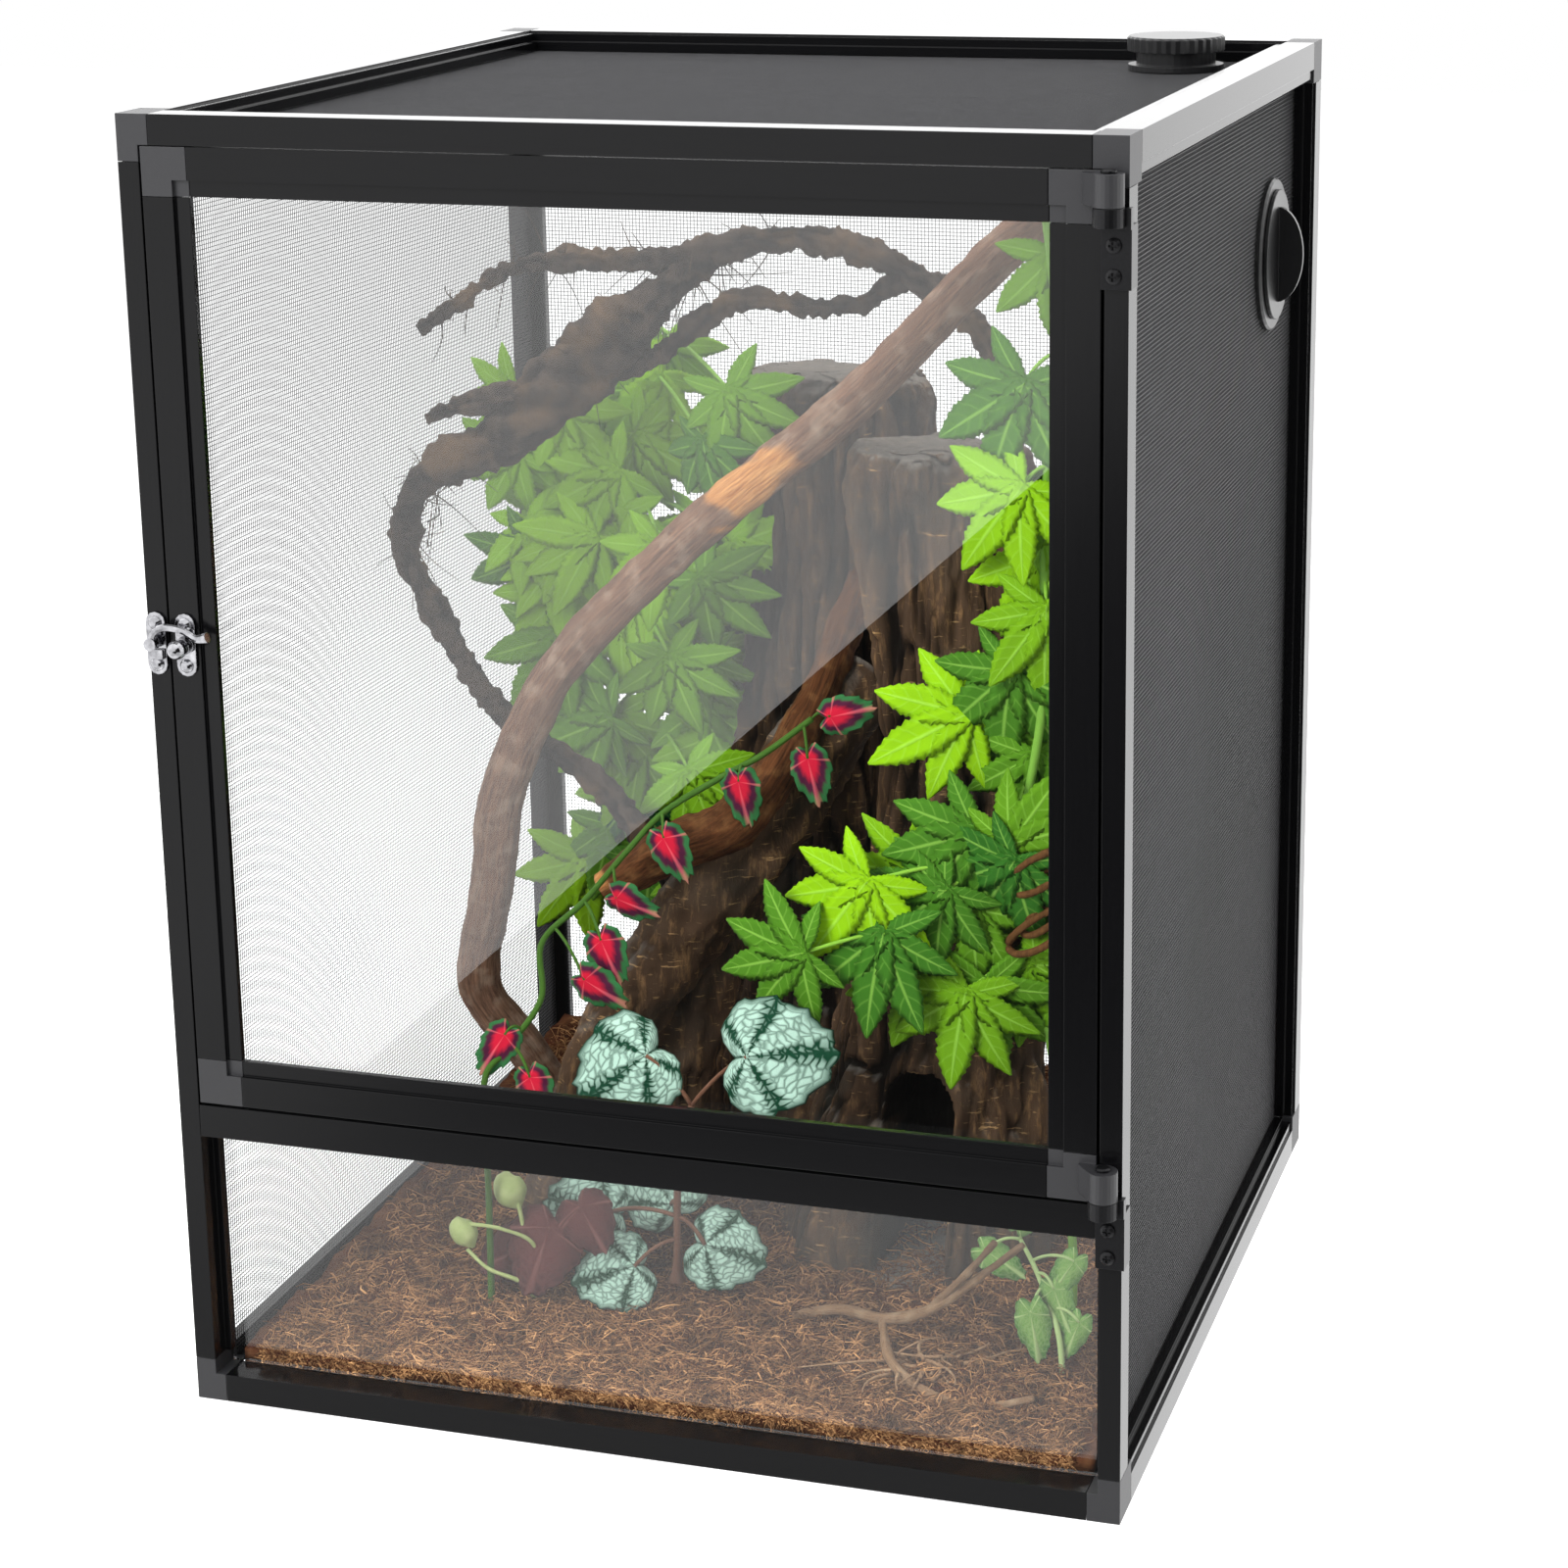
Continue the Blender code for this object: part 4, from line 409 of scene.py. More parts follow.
def skin(rings):
    """Points and faces over rings (pieces, rows, sides, 3): quads between rings and a fan over each end."""
    count, rows, sides = rings.shape[:3]
    ends = rings[:, (0, -1)].mean(axis=2)
    points = np.concatenate((rings.reshape(count, -1, 3), ends), axis=1)
    i, j = np.meshgrid(np.arange(rows - 1), np.arange(sides), indexing="ij")
    here = i * sides + j
    beside = i * sides + (j + 1) % sides
    quads = np.stack((here, beside, beside + sides, here + sides), -1).reshape(-1, 4)
    k = np.arange(sides)
    follow = (k + 1) % sides
    last = (rows - 1) * sides
    fans = np.concatenate((np.stack((follow, k, np.full(sides, rows * sides)), -1),
                           np.stack((last + k, last + follow, np.full(sides, rows * sides + 1)), -1)))
    step = (np.arange(count) * (rows * sides + 2))[:, None, None]
    faces = (quads + step).reshape(-1, 4).tolist() + (fans + step).reshape(-1, 3).tolist()
    return points.reshape(-1, 3), faces


def with_ends(marks):
    """Marks given on rings, in the order of a skin's points: the rings' own, then the mean at each end."""
    width = marks.shape[3:]
    ends = marks[:, (0, -1)].mean(axis=2)
    return np.concatenate((marks.reshape(len(marks), -1, *width), ends), 1).reshape(-1, *width)


def wrapped(name, rings, material, slot, nodes=(), **marks):
    """A piece that is the skin over rings, with its marks given on them."""
    points, faces = skin(rings)
    marks = {key: with_ends(values) for key, values in marks.items()}
    made(name, points, faces, material, nodes, marks)


def turns(sides):
    """The angles of a ring's points, evenly spread."""
    return np.arange(sides) * math.tau / sides


def around(line, sides, facing=(0, 1, 0)):
    """For points of a line, the unit arms that stand off it, one for each side, turned from a facing."""
    facing = np.array(facing, float)
    ahead = unit(np.gradient(line, axis=-2))
    out = unit(facing - ahead * (ahead @ facing)[..., None])
    side = np.cross(ahead, out)
    angle = turns(sides)[:, None]
    return np.cos(angle) * out[..., None, :] + np.sin(angle) * side[..., None, :]


STUMP_LEFT = [(-8, 72, 10, 79, 59), (-6, 76, 70, 74, 54), (-4, 84, 130, 66, 48), (0, 92, 200, 60, 44),
              (0, 98, 270, 54, 40), (-1, 103, 330, 50, 37), (-2, 105, 375, 48, 35), (-2, 105, 405, 52, 37),
              (-2, 105, 432, 53, 38), (-2, 105, 446, 46, 32), (-2, 105, 450, 30, 20), (-2, 105, 450, 1, 1)]
STUMP_RIGHT = [(72, -10, 10, 73, 59), (74, -6, 60, 68, 54), (78, 4, 110, 60, 46), (80, 14, 180, 48, 40),
               (86, 24, 250, 42, 35), (84, 30, 310, 42, 34), (78, 33, 360, 45, 35), (73, 35, 395, 48, 36),
               (72, 35, 415, 47, 34), (71, 35, 425, 42, 29), (70, 35, 428, 28, 18), (70, 35, 428, 1, 1)]
ROOT = [(24, 62, 300, 20), (-15, 5, 232, 23), (-52, -15, 177, 20), (-87, -35, 117, 17), (-104, -46, 62, 18),
        (-110, -52, 14, 22)]
SPUR = [(-26, 24, 205, 12), (-42, 10, 160, 15), (-54, 2, 120, 17), (-62, -3, 75, 17), (-70, -8, 30, 19),
        (-72, -9, 12, 21)]
STUMP_ROWS = 300
STUMP_SIDES = 290
# The chipped top: how far under the rim the chips begin, and over what height they reach their full depth
CHIPS_FROM = 24
CHIPS_OVER = 20
# The right stump's hollow: its middle, half width, sill and spring of the arch, and how far back it goes.
# Its inside is painted near black as shade
HOLLOW = (80, 19, 24, 106, 8)
# How far each size of lump pushes the bark, and each groove cuts it: (push, cell), (cut, cell, width, seed)
LUMPS = [(3.6, (17, 17, 110)), (1.5, (7, 7, 34)), (0.8, (2.8, 2.8, 7))]
GROOVES = [(3.4, (9, 9, 60), 0.16, 3), (1.6, (5, 5, 19), 0.2, 5)]


def stump(stations, ridges, phase, seed, hollow=None):
    """A ridged stump: ovals up a leaning line, waved round by two cosines and pushed out by lumps. A groove
    follows each line where its noise passes through zero. The top is uneven, and a hollow is a sunk arch
    whose inside is painted near black as shade."""
    rows = through(stations, STUMP_ROWS)
    index = np.linspace(0, len(stations) - 1, STUMP_ROWS)[:, None]
    angle = turns(STUMP_SIDES)
    out = np.stack((np.cos(angle), np.sin(angle)), -1)
    wave = 1 + 0.045 * np.cos(ridges * angle + phase + index * 0.25)
    wave += 0.03 * np.cos((ridges + 4) * angle - phase * 2)
    points = np.repeat(rows[:, None, :3], STUMP_SIDES, 1)
    points[..., :2] += rows[:, None, 3:5] * wave[..., None] * out
    push = sum(far * noise(points, size, seed + k) for k, (far, size) in enumerate(LUMPS))
    for cut, size, width, k in GROOVES:
        push -= cut * np.exp(-(noise(points, size, seed + k) / width) ** 2)
    share = np.clip(rows[:, 3:4] / rows[:, 3:4].max(), 0, 1)
    points[..., :2] += out * (push * np.minimum(share * 2, 1))[..., None]
    top = np.clip((rows[:, 2:3] - (stations[-1][2] - CHIPS_FROM)) / CHIPS_OVER, 0, 1)
    chips = 1.6 * noise(points, (16, 16, 400), seed + 4) + 0.8 * noise(points, (5, 5, 99), seed)
    points[..., 2] += top * chips
    if hollow:
        centre, half, sill, spring, back = hollow
        x = (points[..., 0] - centre) / half
        z = points[..., 2]
        above = np.maximum(z - spring, 0) / half
        inside = np.clip((1 - np.sqrt(x * x + above * above)) * 3.5, 0, 1) * np.clip((z - sill) / 5, 0, 1)
        inside *= np.sin(angle) < -0.2
        points[..., 1] += inside * np.maximum(back - points[..., 1], 0)
        # Painted shade: the hollow's inside is marked 7 mm deeper than its shape, so its bark colour goes
        # near black
        push = push - 7 * inside
    return points[None], push[None]


def layered(tree, shader, base, layers, height, strength, depth, invert=False):
    """Colours laid over a base, each as far as its mask lets it, and a surface raised to a depth in mm."""
    for mask, colour in layers:
        base = add(tree, "Mix", {0: mask, 6: base, 7: colour}, data_type="RGBA")
    raised = {"Strength": strength, "Distance": depth * MM, "Height": height}
    fed(tree, shader, {"Base Color": base, "Normal": add(tree, "Bump", raised, invert=invert)})


# Noise scales are cells in a metre: the grain's 260 and 45 are 4 mm across the bark and 22 mm along it
bark, tree, shader = begun("ridged_bark", "#3A2E26", 0.8, specular=0.12)
place = add(tree, "TexCoord").outputs["Object"]
grain = add(tree, "Mapping", {"Vector": place, "Scale": (260, 260, 45)})
grain = add(tree, "TexNoise", {"Vector": grain, "Scale": 1.0, "Detail": 5.0, "Roughness": 0.65})
groove = add(tree, "Attribute", attribute_name="groove").outputs["Fac"]
ridge = add(tree, "MapRange", {"Value": groove, "From Min": -4.5, "From Max": 3.0})
fleck = add(tree, "MapRange", {"Value": grain, "From Min": 0.52, "From Max": 0.72})
fleck = add(tree, "Math", {0: fleck, 1: ridge}, operation="MULTIPLY")
crack = add(tree, "Mapping", {"Vector": place, "Scale": (90, 90, 620)})
crack = add(tree, "TexNoise", {"Vector": crack, "Scale": 1.0, "Detail": 4.0, "Roughness": 0.6})
crack = add(tree, "MapRange", {"Value": crack, "From Min": 0.62, "From Max": 0.7})
crack = add(tree, "Math", {0: crack, 1: ridge}, operation="MULTIPLY")
patch = add(tree, "TexNoise", {"Vector": place, "Scale": 28.0, "Detail": 4.0})
patch = add(tree, "MapRange", {"Value": patch, "From Min": 0.5, "From Max": 0.8, "To Max": 0.6})
facing = add(tree, "SeparateXYZ", {0: add(tree, "NewGeometry").outputs["Normal"]}).outputs["Z"]
# Faces that turn upwards, wherever they are on the bark, are laid over with grey
facing_up = add(tree, "MapRange", {"Value": facing, "From Min": 0.45, "From Max": 0.85, "To Max": 0.8})
upward_grey = add(tree, "Mix", {0: grain, 6: "#3A3632", 7: "#8C867E"}, data_type="RGBA")
layers = [(ridge, "#564232"), (fleck, "#8E6C48"), (crack, "#C09A68"), (patch, "#3B3A34"), (facing_up, upward_grey)]
layered(tree, shader, "#0D0906", layers, grain, strength=1.0, depth=1.2)
for name, stations, ridges, phase, seed, hollow in (("stump_left", STUMP_LEFT, 5, 0.4, 11, None),
                                                     ("stump_right", STUMP_RIGHT, 6, 1.3, 23, HOLLOW)):
    rings, push = stump(stations, ridges, phase, seed, hollow)
    wrapped(name, rings, bark, "bark", ["bark_trunk"], groove=push)


def rolled(angle, run, radius, stretch):
    """A place on a limb by its turn and its run, so that a pattern there is drawn out along the grain."""
    return np.stack(np.broadcast_arrays(np.cos(angle) * radius, np.sin(angle) * radius, run / stretch), -1)


def limb(stations, rows, sides, rough, fine, seed, twist=0.0, strands=0, braid=0.0):
    """A limb along a line: round, roughened by noise, and cut into strands by a cosine of its turn if asked,
    which twists with its run."""
    line = through(stations, rows)
    centre, radius = line[:, :3], line[:, 3:4]
    angle, arms = turns(sides), around(centre, sides)
    run = np.concatenate(((0,), np.cumsum(np.linalg.norm(np.diff(centre, axis=0), axis=1))))[:, None]
    points = centre[:, None] + arms * radius[..., None]
    push = rough * noise(points, 11, seed) + fine * noise(points, 3.2, seed + 1)
    push += rough * 0.8 * noise(rolled(angle, run, 6, 14), 1.6, seed + 2)
    if strands:
        push += radius * braid * (np.abs(np.cos(strands / 2 * (angle - twist * run))) - 0.6)
    points += arms * push[..., None]
    return points[None], push[None]


for name, stations, rows, seed in (("root", ROOT, 150, 31), ("root_spur", SPUR, 110, 37)):
    rings, push = limb(stations, rows, 60, rough=2.6, fine=1.0, seed=seed)
    wrapped(name, rings, bark, "bark", ["bark_trunk"], groove=push)

# Climbing branch and cut log: dry wood, the branch leant from the floor to the top corner and the log laid
# on the stumps. Both look dull brown, streaked darker along the grain, with a torn patch of bare wood
BRANCH = [(-118, 22, 14, 10.5), (-124, 17, 50, 10), (-145, 7, 95, 10.5), (-169, 0, 135, 11),
          (-159, -3, 191, 11.5), (-149, -3, 248, 11.5), (-117, 0, 311, 11), (-59, 5, 371, 11),
          (-7, 13, 416, 11), (44, 20, 460, 11), (94, 30, 513, 10.5), (124, 37, 540, 10), (148, 45, 563, 9)]
LOG = [(-80, -45, 208, 9), (-52, -36, 228, 11.5), (-16, -20, 246, 13), (8, 12, 286, 10), (20, 85, 352, 8)]


def wood(name, dark, light, spot):
    """Dry wood: streaks along the limb by its own marks, pale spots 9 mm wide, and torn wood where bare."""
    material, tree, shader = begun(name, light, 0.7, specular=0.15)
    way = add(tree, "Attribute", attribute_name="way").outputs["Vector"]
    long = add(tree, "TexNoise", {"Vector": way, "Scale": 1.0, "Detail": 6.0, "Roughness": 0.7})
    place = add(tree, "TexCoord").outputs["Object"]
    spots = add(tree, "TexNoise", {"Vector": place, "Scale": 110.0, "Detail": 5.0})
    spots = add(tree, "MapRange", {"Value": spots, "From Min": 0.5, "From Max": 0.75, "To Max": 0.6})
    streaks = add(tree, "MapRange", {"Value": long, "From Min": 0.32, "From Max": 0.68})
    bare = add(tree, "Attribute", attribute_name="bare").outputs["Fac"]
    torn = add(tree, "Mix", {0: streaks, 6: "#8A4E22", 7: "#DDA468"}, data_type="RGBA")
    layers = [(streaks, light), (spots, spot), (bare, torn)]
    layered(tree, shader, dark, layers, long, strength=1.0, depth=1.2)
    return material


def grained(rings, stations, bare_at, bare_reach):
    """Marks of a limb: where it is by turn and run, and how bare its wood is near a point."""
    legs = np.linalg.norm(np.diff(np.array(stations)[:, :3], axis=0), axis=1)
    run = np.linspace(0, 1, rings.shape[1])[:, None] * legs.sum()
    away = np.linalg.norm((rings - np.array(bare_at)) / np.array(bare_reach), axis=-1)
    bare = np.clip((1.1 - away) * 3 + 1.4 * noise(rings, (9, 9, 5), 3), 0, 1)
    return {"way": rolled(turns(rings.shape[2]), run, 7, 16)[None], "bare": bare}


branch_wood = wood("dry_branch", "#4A342A", "#8E6C56", "#A8927E")
rings = limb(BRANCH, 260, 40, rough=0.9, fine=0.35, seed=41)[0]
wrapped("climbing_branch_wood", rings, branch_wood, "branch_wood", ["climbing_branch"],
        **grained(rings, BRANCH, (-14, 2, 409), (27, 9, 24)))
log_wood = wood("cut_log_wood", "#2A180E", "#663F24", "#86603A")
rings = limb(LOG, 120, 32, rough=1.6, fine=0.6, seed=47)[0]
wrapped("cut_log", rings, log_wood, "bark", ["bark_trunk"],
        **grained(rings, LOG, (-84, -46, 206), (8, 16, 14)))

# Twisted vine: bundles of dark fibre wound on a bendable core, with a thick mossy part at the back. It looks
# like dark felt, with brown moss in patches 26 mm wide
VINE_TOP = [(-204, 35, 473, 3), (-155, 55, 504, 4.5), (-84, 75, 508, 6), (-5, 75, 521, 6), (58, 70, 500, 6),
            (92, 62, 470, 6), (106, 48, 432, 6.5), (98, 42, 404, 5)]
VINE_MASS = [(-52, 75, 511, 5), (-80, 68, 494, 9), (-110, 55, 466, 18), (-154, 28, 424, 14),
             (-194, 5, 398, 8), (-201, 5, 362, 6), (-190, 15, 329, 6), (-175, 20, 297, 6),
             (-156, 22, 273, 6), (-104, 22, 239, 6), (-62, -6, 207, 6), (-44, -12, 193, 5)]
VINE_TWIG = [(-140, 38, 444, 6), (-168, 22, 440, 4.5), (-192, 12, 433, 2.5)]
VINE_LOOP = [(46, 71, 504, 5), (11, 72, 487, 4.5), (-45, 72, 488, 5), (-88, 62, 458, 5), (-122, 48, 450, 6)]
fibre, tree, shader = begun("vine_fibre", "#3A322D", 0.9, specular=0.1)
place = add(tree, "TexCoord").outputs["Object"]
tuft = add(tree, "TexNoise", {"Vector": place, "Scale": 260.0, "Detail": 5.0, "Roughness": 0.7})
moss = add(tree, "TexNoise", {"Vector": place, "Scale": 38.0, "Detail": 3.0})
moss = add(tree, "MapRange", {"Value": moss, "From Min": 0.5, "From Max": 0.72, "To Max": 0.7})
groove = add(tree, "Attribute", attribute_name="groove").outputs["Fac"]
ridge = add(tree, "MapRange", {"Value": groove, "From Min": -1.6, "From Max": 1.6})
layered(tree, shader, "#120D0B", [(ridge, "#40362F"), (moss, "#6A5238")], tuft, strength=0.9, depth=1.0)
vines = ((VINE_TOP, 260, 51), (VINE_MASS, 420, 57), (VINE_TWIG, 60, 63), (VINE_LOOP, 150, 69))
for number, (stations, rows, seed) in enumerate(vines, 1):
    rings, push = limb(stations, rows, 30, 2.5, 2.5, seed, twist=0.07, strands=4, braid=0.16)
    wrapped(f"vine_strand_{number}", rings, fibre, "twisted_vine", ["twisted_vine"], groove=push)

# Vine rootlets: fine coir fibres, dyed as the vine is and glued on it, that stand off its mossy part and top
MASS_ROOTLETS = 150
TOP_ROOTLETS = 50


def keep_inside(points, limit=211.5):
    """Press points that pass a screen back inside it."""
    points[..., 0] = np.clip(points[..., 0], -limit, limit)
    return points


def rootlets(starts, lengths, radius, droop, seed, flat=1.0):
    """Thin fibres from given points: each runs off by chance, and curls and sags by a square law."""
    chance = np.random.default_rng(seed)
    count = len(starts)
    way = unit(chance.normal(0, 1, (count, 3)) * (1, 1, flat))
    curl = chance.normal(0, 0.5, (count, 3)) * (1, 1, flat)
    length = chance.uniform(*lengths, (count, 1, 1))
    t = np.linspace(0, 1, 8)[None, :, None]
    path = starts[:, None] + (way[:, None] * t + curl[:, None] * t ** 2) * length
    path[..., 2:] -= droop * t ** 2 * length
    thick = radius * (1 - 0.7 * t)[..., None]
    return path[:, :, None] + around(path, 5, (0.2, 0.1, 1)) * thick


chance = np.random.default_rng(77)
mass = through(VINE_MASS[:6], 400)[:, :3][chance.integers(0, 400, MASS_ROOTLETS)]
mass += chance.normal(0, 4, (MASS_ROOTLETS, 3))
tips = through(VINE_TOP[:4], 200)[:, :3][chance.integers(0, 200, TOP_ROOTLETS)]
rings = rootlets(np.concatenate((mass, tips)), lengths=(10, 30), radius=0.45, droop=0.25, seed=78)
rings = keep_inside(rings, 210)
wrapped("vine_rootlets", rings, fibre, "twisted_vine", groove=1 + 0 * rings[..., 0])

# Hanging bunches: silk leaves of seven toothed lobes, dyed and heat-pressed, on wire stems hung inside. They
# look dull and soft, from yellow-green to deep green, with pale raised veins that slant from the midrib. The
# left bunch's light tones, most of all at its top, are partly painted light for the light that shines
# through its backlit leaves. A leaf is (x, y, z, length, aim, lean, how light it is)
GARLAND_RIGHT = [(150, -70, 575, 2.2), (158, -72, 500, 2.2), (152, -70, 420, 2.2), (150, -66, 330, 2.2),
                 (142, -70, 260, 2.2), (150, -68, 190, 2.2), (160, -66, 120, 2.2), (165, -66, 60, 2.2),
                 (165, -64, 16, 2.2)]
GARLAND_LEFT = [(-102, 112, 466, 2.2), (-113, 114, 400, 2.2), (-118, 114, 330, 2.2), (-113, 114, 260, 2.2),
                (-106, 116, 200, 2.2), (-102, 118, 130, 2.2), (-100, 120, 60, 2.2), (-100, 120, 24, 2.2)]
RIGHT_LEAVES = [
    (121, -78, 266, 54, -30, 8, 0.2), (136, -68, 343, 54, -12, -6, 0.2), (145, -62, 301, 52, 20, 10, 0.3),
    (70, -88, 240, 52, -35, 5, 0.95), (40, -97, 205, 48, -70, 0, 0.25), (79, -90, 216, 54, -10, 12, 0.15),
    (126, -78, 191, 52, 5, -4, 0.3), (153, -75, 252, 52, 35, 0, 0.2), (112, -60, 318, 50, -60, 6, 0.9),
    (144, -78, 480, 54, -20, 0, 0.2), (152, -66, 399, 52, 10, 8, 0.85), (156, -66, 538, 50, 30, -5, 0.6),
    (98, -76, 197, 50, -25, 4, 0.5), (92, -70, 242, 50, -50, -6, 0.7), (146, -66, 204, 50, 25, 6, 0.4)]
LEFT_LEAVES = [
    (-178, 95, 432, 48, -35, 0, 0.8), (-167, 90, 347, 52, -20, 5, 0.2), (-154, 105, 373, 50, -50, -4, 0.7),
    (-134, 118, 416, 50, -10, 6, 0.9), (-103, 128, 454, 42, 15, 0, 0.8), (-40, 46, 446, 48, 25, 4, 0.5),
    (-57, 53, 418, 42, 5, -4, 0.2), (-152, 88, 302, 52, -30, 8, 0.4), (-127, 95, 257, 52, -5, -6, 0.6),
    (-76, 46, 305, 46, 20, 2, 0.5), (-58, 50, 348, 48, 40, 5, 0.4), (-125, 105, 217, 50, 10, 0, 0.7),
    (-153, 115, 168, 48, -40, 4, 0.9), (-66, 44, 245, 44, 30, 0, 0.6), (-83, 55, 362, 46, -15, 3, 0.8),
    (-178, 95, 398, 44, -70, 0, 0.7)]
# A leaf's lobes: the angle of each from the middle one, and its share of that one's length
LOBES = np.array([(-125, 0.55), (-78, 0.78), (-38, 0.92), (0, 1.0), (38, 0.92), (78, 0.78), (125, 0.55)])
LOBE_ROWS = 34
LOBE_SIDES = 6
LOBE_WIDTH = 0.2
TEETH = 12
NICK = 0.2
FOLD = 0.24
# What a stalk and a stem carry as marks where a leaf has its own
STALK_MARK = (0.5, 0, 0.5)
STEM_MARK = (0, 0, 0.2)
OFF_LEAF = (0, 0, -1)


def leaf_ways(data, tilt=0):
    """The unit directions in which leaves face and point: hung by aim and lean, then tilted, and squared."""
    aim, lean = np.radians(data[:, 4]), np.radians(data[:, 5])
    facing = unit(np.stack((0.25 * np.sin(lean * 2), -np.cos(lean), np.sin(lean)), -1) + tilt)
    way = np.stack((np.sin(aim), 0 * aim, -np.cos(aim)), -1)
    return facing, unit(way - facing * (way * facing).sum(1, keepdims=True))


def laid(base, way, facing, x, y, z):
    """Leaf points from their places along the leaf, across it and off its face."""
    ways = ((x, way), (y, np.cross(facing, way)), (z, facing))
    return sum((place[..., None] * ahead[:, None, None] for place, ahead in ways), base[:, None, None])


def lobes(base, way, facing, length, curl):
    """Toothed lobes as rings: the half width follows a sine of the length, the edge is nicked in a saw
    pattern, and the lobe folds up from its midrib and curls back towards its tip."""
    t = np.linspace(0, 1, LOBE_ROWS)[None, :, None]
    turn = turns(LOBE_SIDES)
    v, s = np.cos(turn), np.sin(turn)
    size = length[:, None, None]
    half = size * LOBE_WIDTH * (np.sin(np.pi * (0.015 + 0.97 * t) ** 0.95) ** 0.9 + 0.4 * (1 - t) ** 3)
    half = half * (1 - NICK * np.abs(v) ** 3 * ((t * TEETH) % 1))
    y = half * v
    z = 0.3 * s + FOLD * np.abs(y) - curl[:, None, None] * size * t ** 2
    marks = np.stack((t + 0 * y, y / np.maximum(half, 0.01) + 0 * t, 0 * y), -1)
    return laid(base, way, facing, t * size, y, z), marks


def palms(leaves, seed):
    """Seven lobes for each leaf, spread round its centre, with a little chance in each. The marks are the
    place along a lobe, the place across it and how light the leaf is."""
    chance = np.random.default_rng(seed)
    data = np.array(leaves, float)
    facing, way = leaf_ways(data, chance.normal(0, 0.16, (len(data), 3)))
    across = np.cross(facing, way)
    angle = (np.radians(LOBES[:, 0]) + chance.normal(0, 0.05, (len(data), 7)))[..., None]
    arm = way[:, None] * np.cos(angle) + across[:, None] * np.sin(angle)
    reach = (data[:, 3:4] * LOBES[:, 1] * (1 + chance.normal(0, 0.05, (len(data), 7)))).ravel()
    curl = 0.10 + 0.16 * chance.random(len(reach))
    base, facing = (np.repeat(part, 7, 0) for part in (data[:, :3], facing))
    rings, marks = lobes(base, arm.reshape(-1, 3), facing, reach, curl)
    marks[..., 2] = np.repeat(data[:, 6], 7)[:, None, None]
    return rings, marks, data


def stalks(data, stem, radius, bend=6, reach=12):
    """A thin curved stalk (a quadratic Bezier) from each leaf's foot to the nearest place on the stem."""
    line = through(stem, 120)[:, :3]
    centre = data[:, :3]
    away = np.linalg.norm(line[None] - centre[:, None] - (0, 0, reach), axis=-1)
    end = line[away.argmin(1)]
    middle = (centre + end) / 2 + (0, 0, bend)
    t = np.linspace(0, 1, 9)[None, :, None]
    path = (1 - t) ** 2 * centre[:, None] + 2 * t * (1 - t) * middle[:, None] + t ** 2 * end[:, None]
    return path[:, :, None] + around(path, 6) * radius


def plant(name, stem, leaves, stalk_r, material, nodes=(), stalk_mark=OFF_LEAF, stem_mark=OFF_LEAF):
    """A stem, its stalks and its leaves as one piece. Leaves are given by their rings, marks and data."""
    rings, leaf_marks, data = leaves
    line = through(stem, 90)
    tube = (line[:, None, :3] + around(line[:, :3], 8, (0.3, 1, 0)) * line[:, None, 3:4])[None]
    twigs = stalks(data, stem, stalk_r)
    points, faces, marks, start = [], [], [], 0
    for part, told in ((keep_inside(rings), leaf_marks), (twigs, stalk_mark + 0 * twigs),
                       (tube, stem_mark + 0 * tube)):
        corners, cover = skin(part)
        faces += [[start + k for k in face] for face in cover]
        points.append(corners)
        marks.append(with_ends(told))
        start += len(corners)
    made(name, np.concatenate(points), faces, material, nodes, {"blade": np.concatenate(marks)})


def scattered(count, low, high, sizes, tones, seed):
    """More leaves between two corners, turned by chance and mostly hanging."""
    chance = np.random.default_rng(seed)
    spots = chance.uniform(low, high, (count, 3))
    rest = [chance.uniform(*sizes, count), chance.normal(0, 45, count), chance.normal(0, 9, count),
            chance.uniform(*tones, count)]
    return [tuple(row) for row in np.column_stack((spots, *rest))]


silk, tree, shader = begun("silk_dye_and_painted_backlight", "#2E8A2E", 0.5, specular=0.12)
blade = add(tree, "Attribute", attribute_name="blade").outputs["Vector"]
cut = add(tree, "SeparateXYZ", {0: blade}).outputs
place = add(tree, "TexCoord").outputs["Object"]
patch = add(tree, "TexNoise", {"Vector": place, "Scale": 70.0, "Detail": 3.0})
aside = add(tree, "Math", {0: cut["Y"]}, operation="ABSOLUTE")
slant = add(tree, "Math", {0: aside, 1: -0.16, 2: cut["X"]}, operation="MULTIPLY_ADD")
ribs = add(tree, "Math", {0: slant, 1: 44.0}, operation="MULTIPLY")
ribs = add(tree, "Math", {0: ribs}, operation="SINE")
ribs = add(tree, "MapRange", {"Value": ribs, "From Min": 0.72, "From Max": 1.0, "To Max": 0.35})
midrib = add(tree, "MapRange", {"Value": aside, "From Min": 0.11, "From Max": 0.03})
veins = add(tree, "Math", {0: ribs, 1: midrib}, operation="MAXIMUM")
pale = add(tree, "Math", {0: veins, 1: 0.34}, operation="MULTIPLY")
tone = add(tree, "Mix", {0: cut["Z"], 6: "#0A5420", 7: "#92C80E"}, data_type="RGBA")
layers = [(patch, tone), (0.68, tone), (pale, "#A8DC60")]
layered(tree, shader, "#052E10", layers, veins, strength=0.5, depth=0.5)

more_right = scattered(13, (84, -84, 180), (165, -58, 330), (42, 52), (0.1, 0.7), 5)
more_right += scattered(5, (140, -80, 330), (165, -58, 450), (42, 52), (0.2, 0.9), 6)
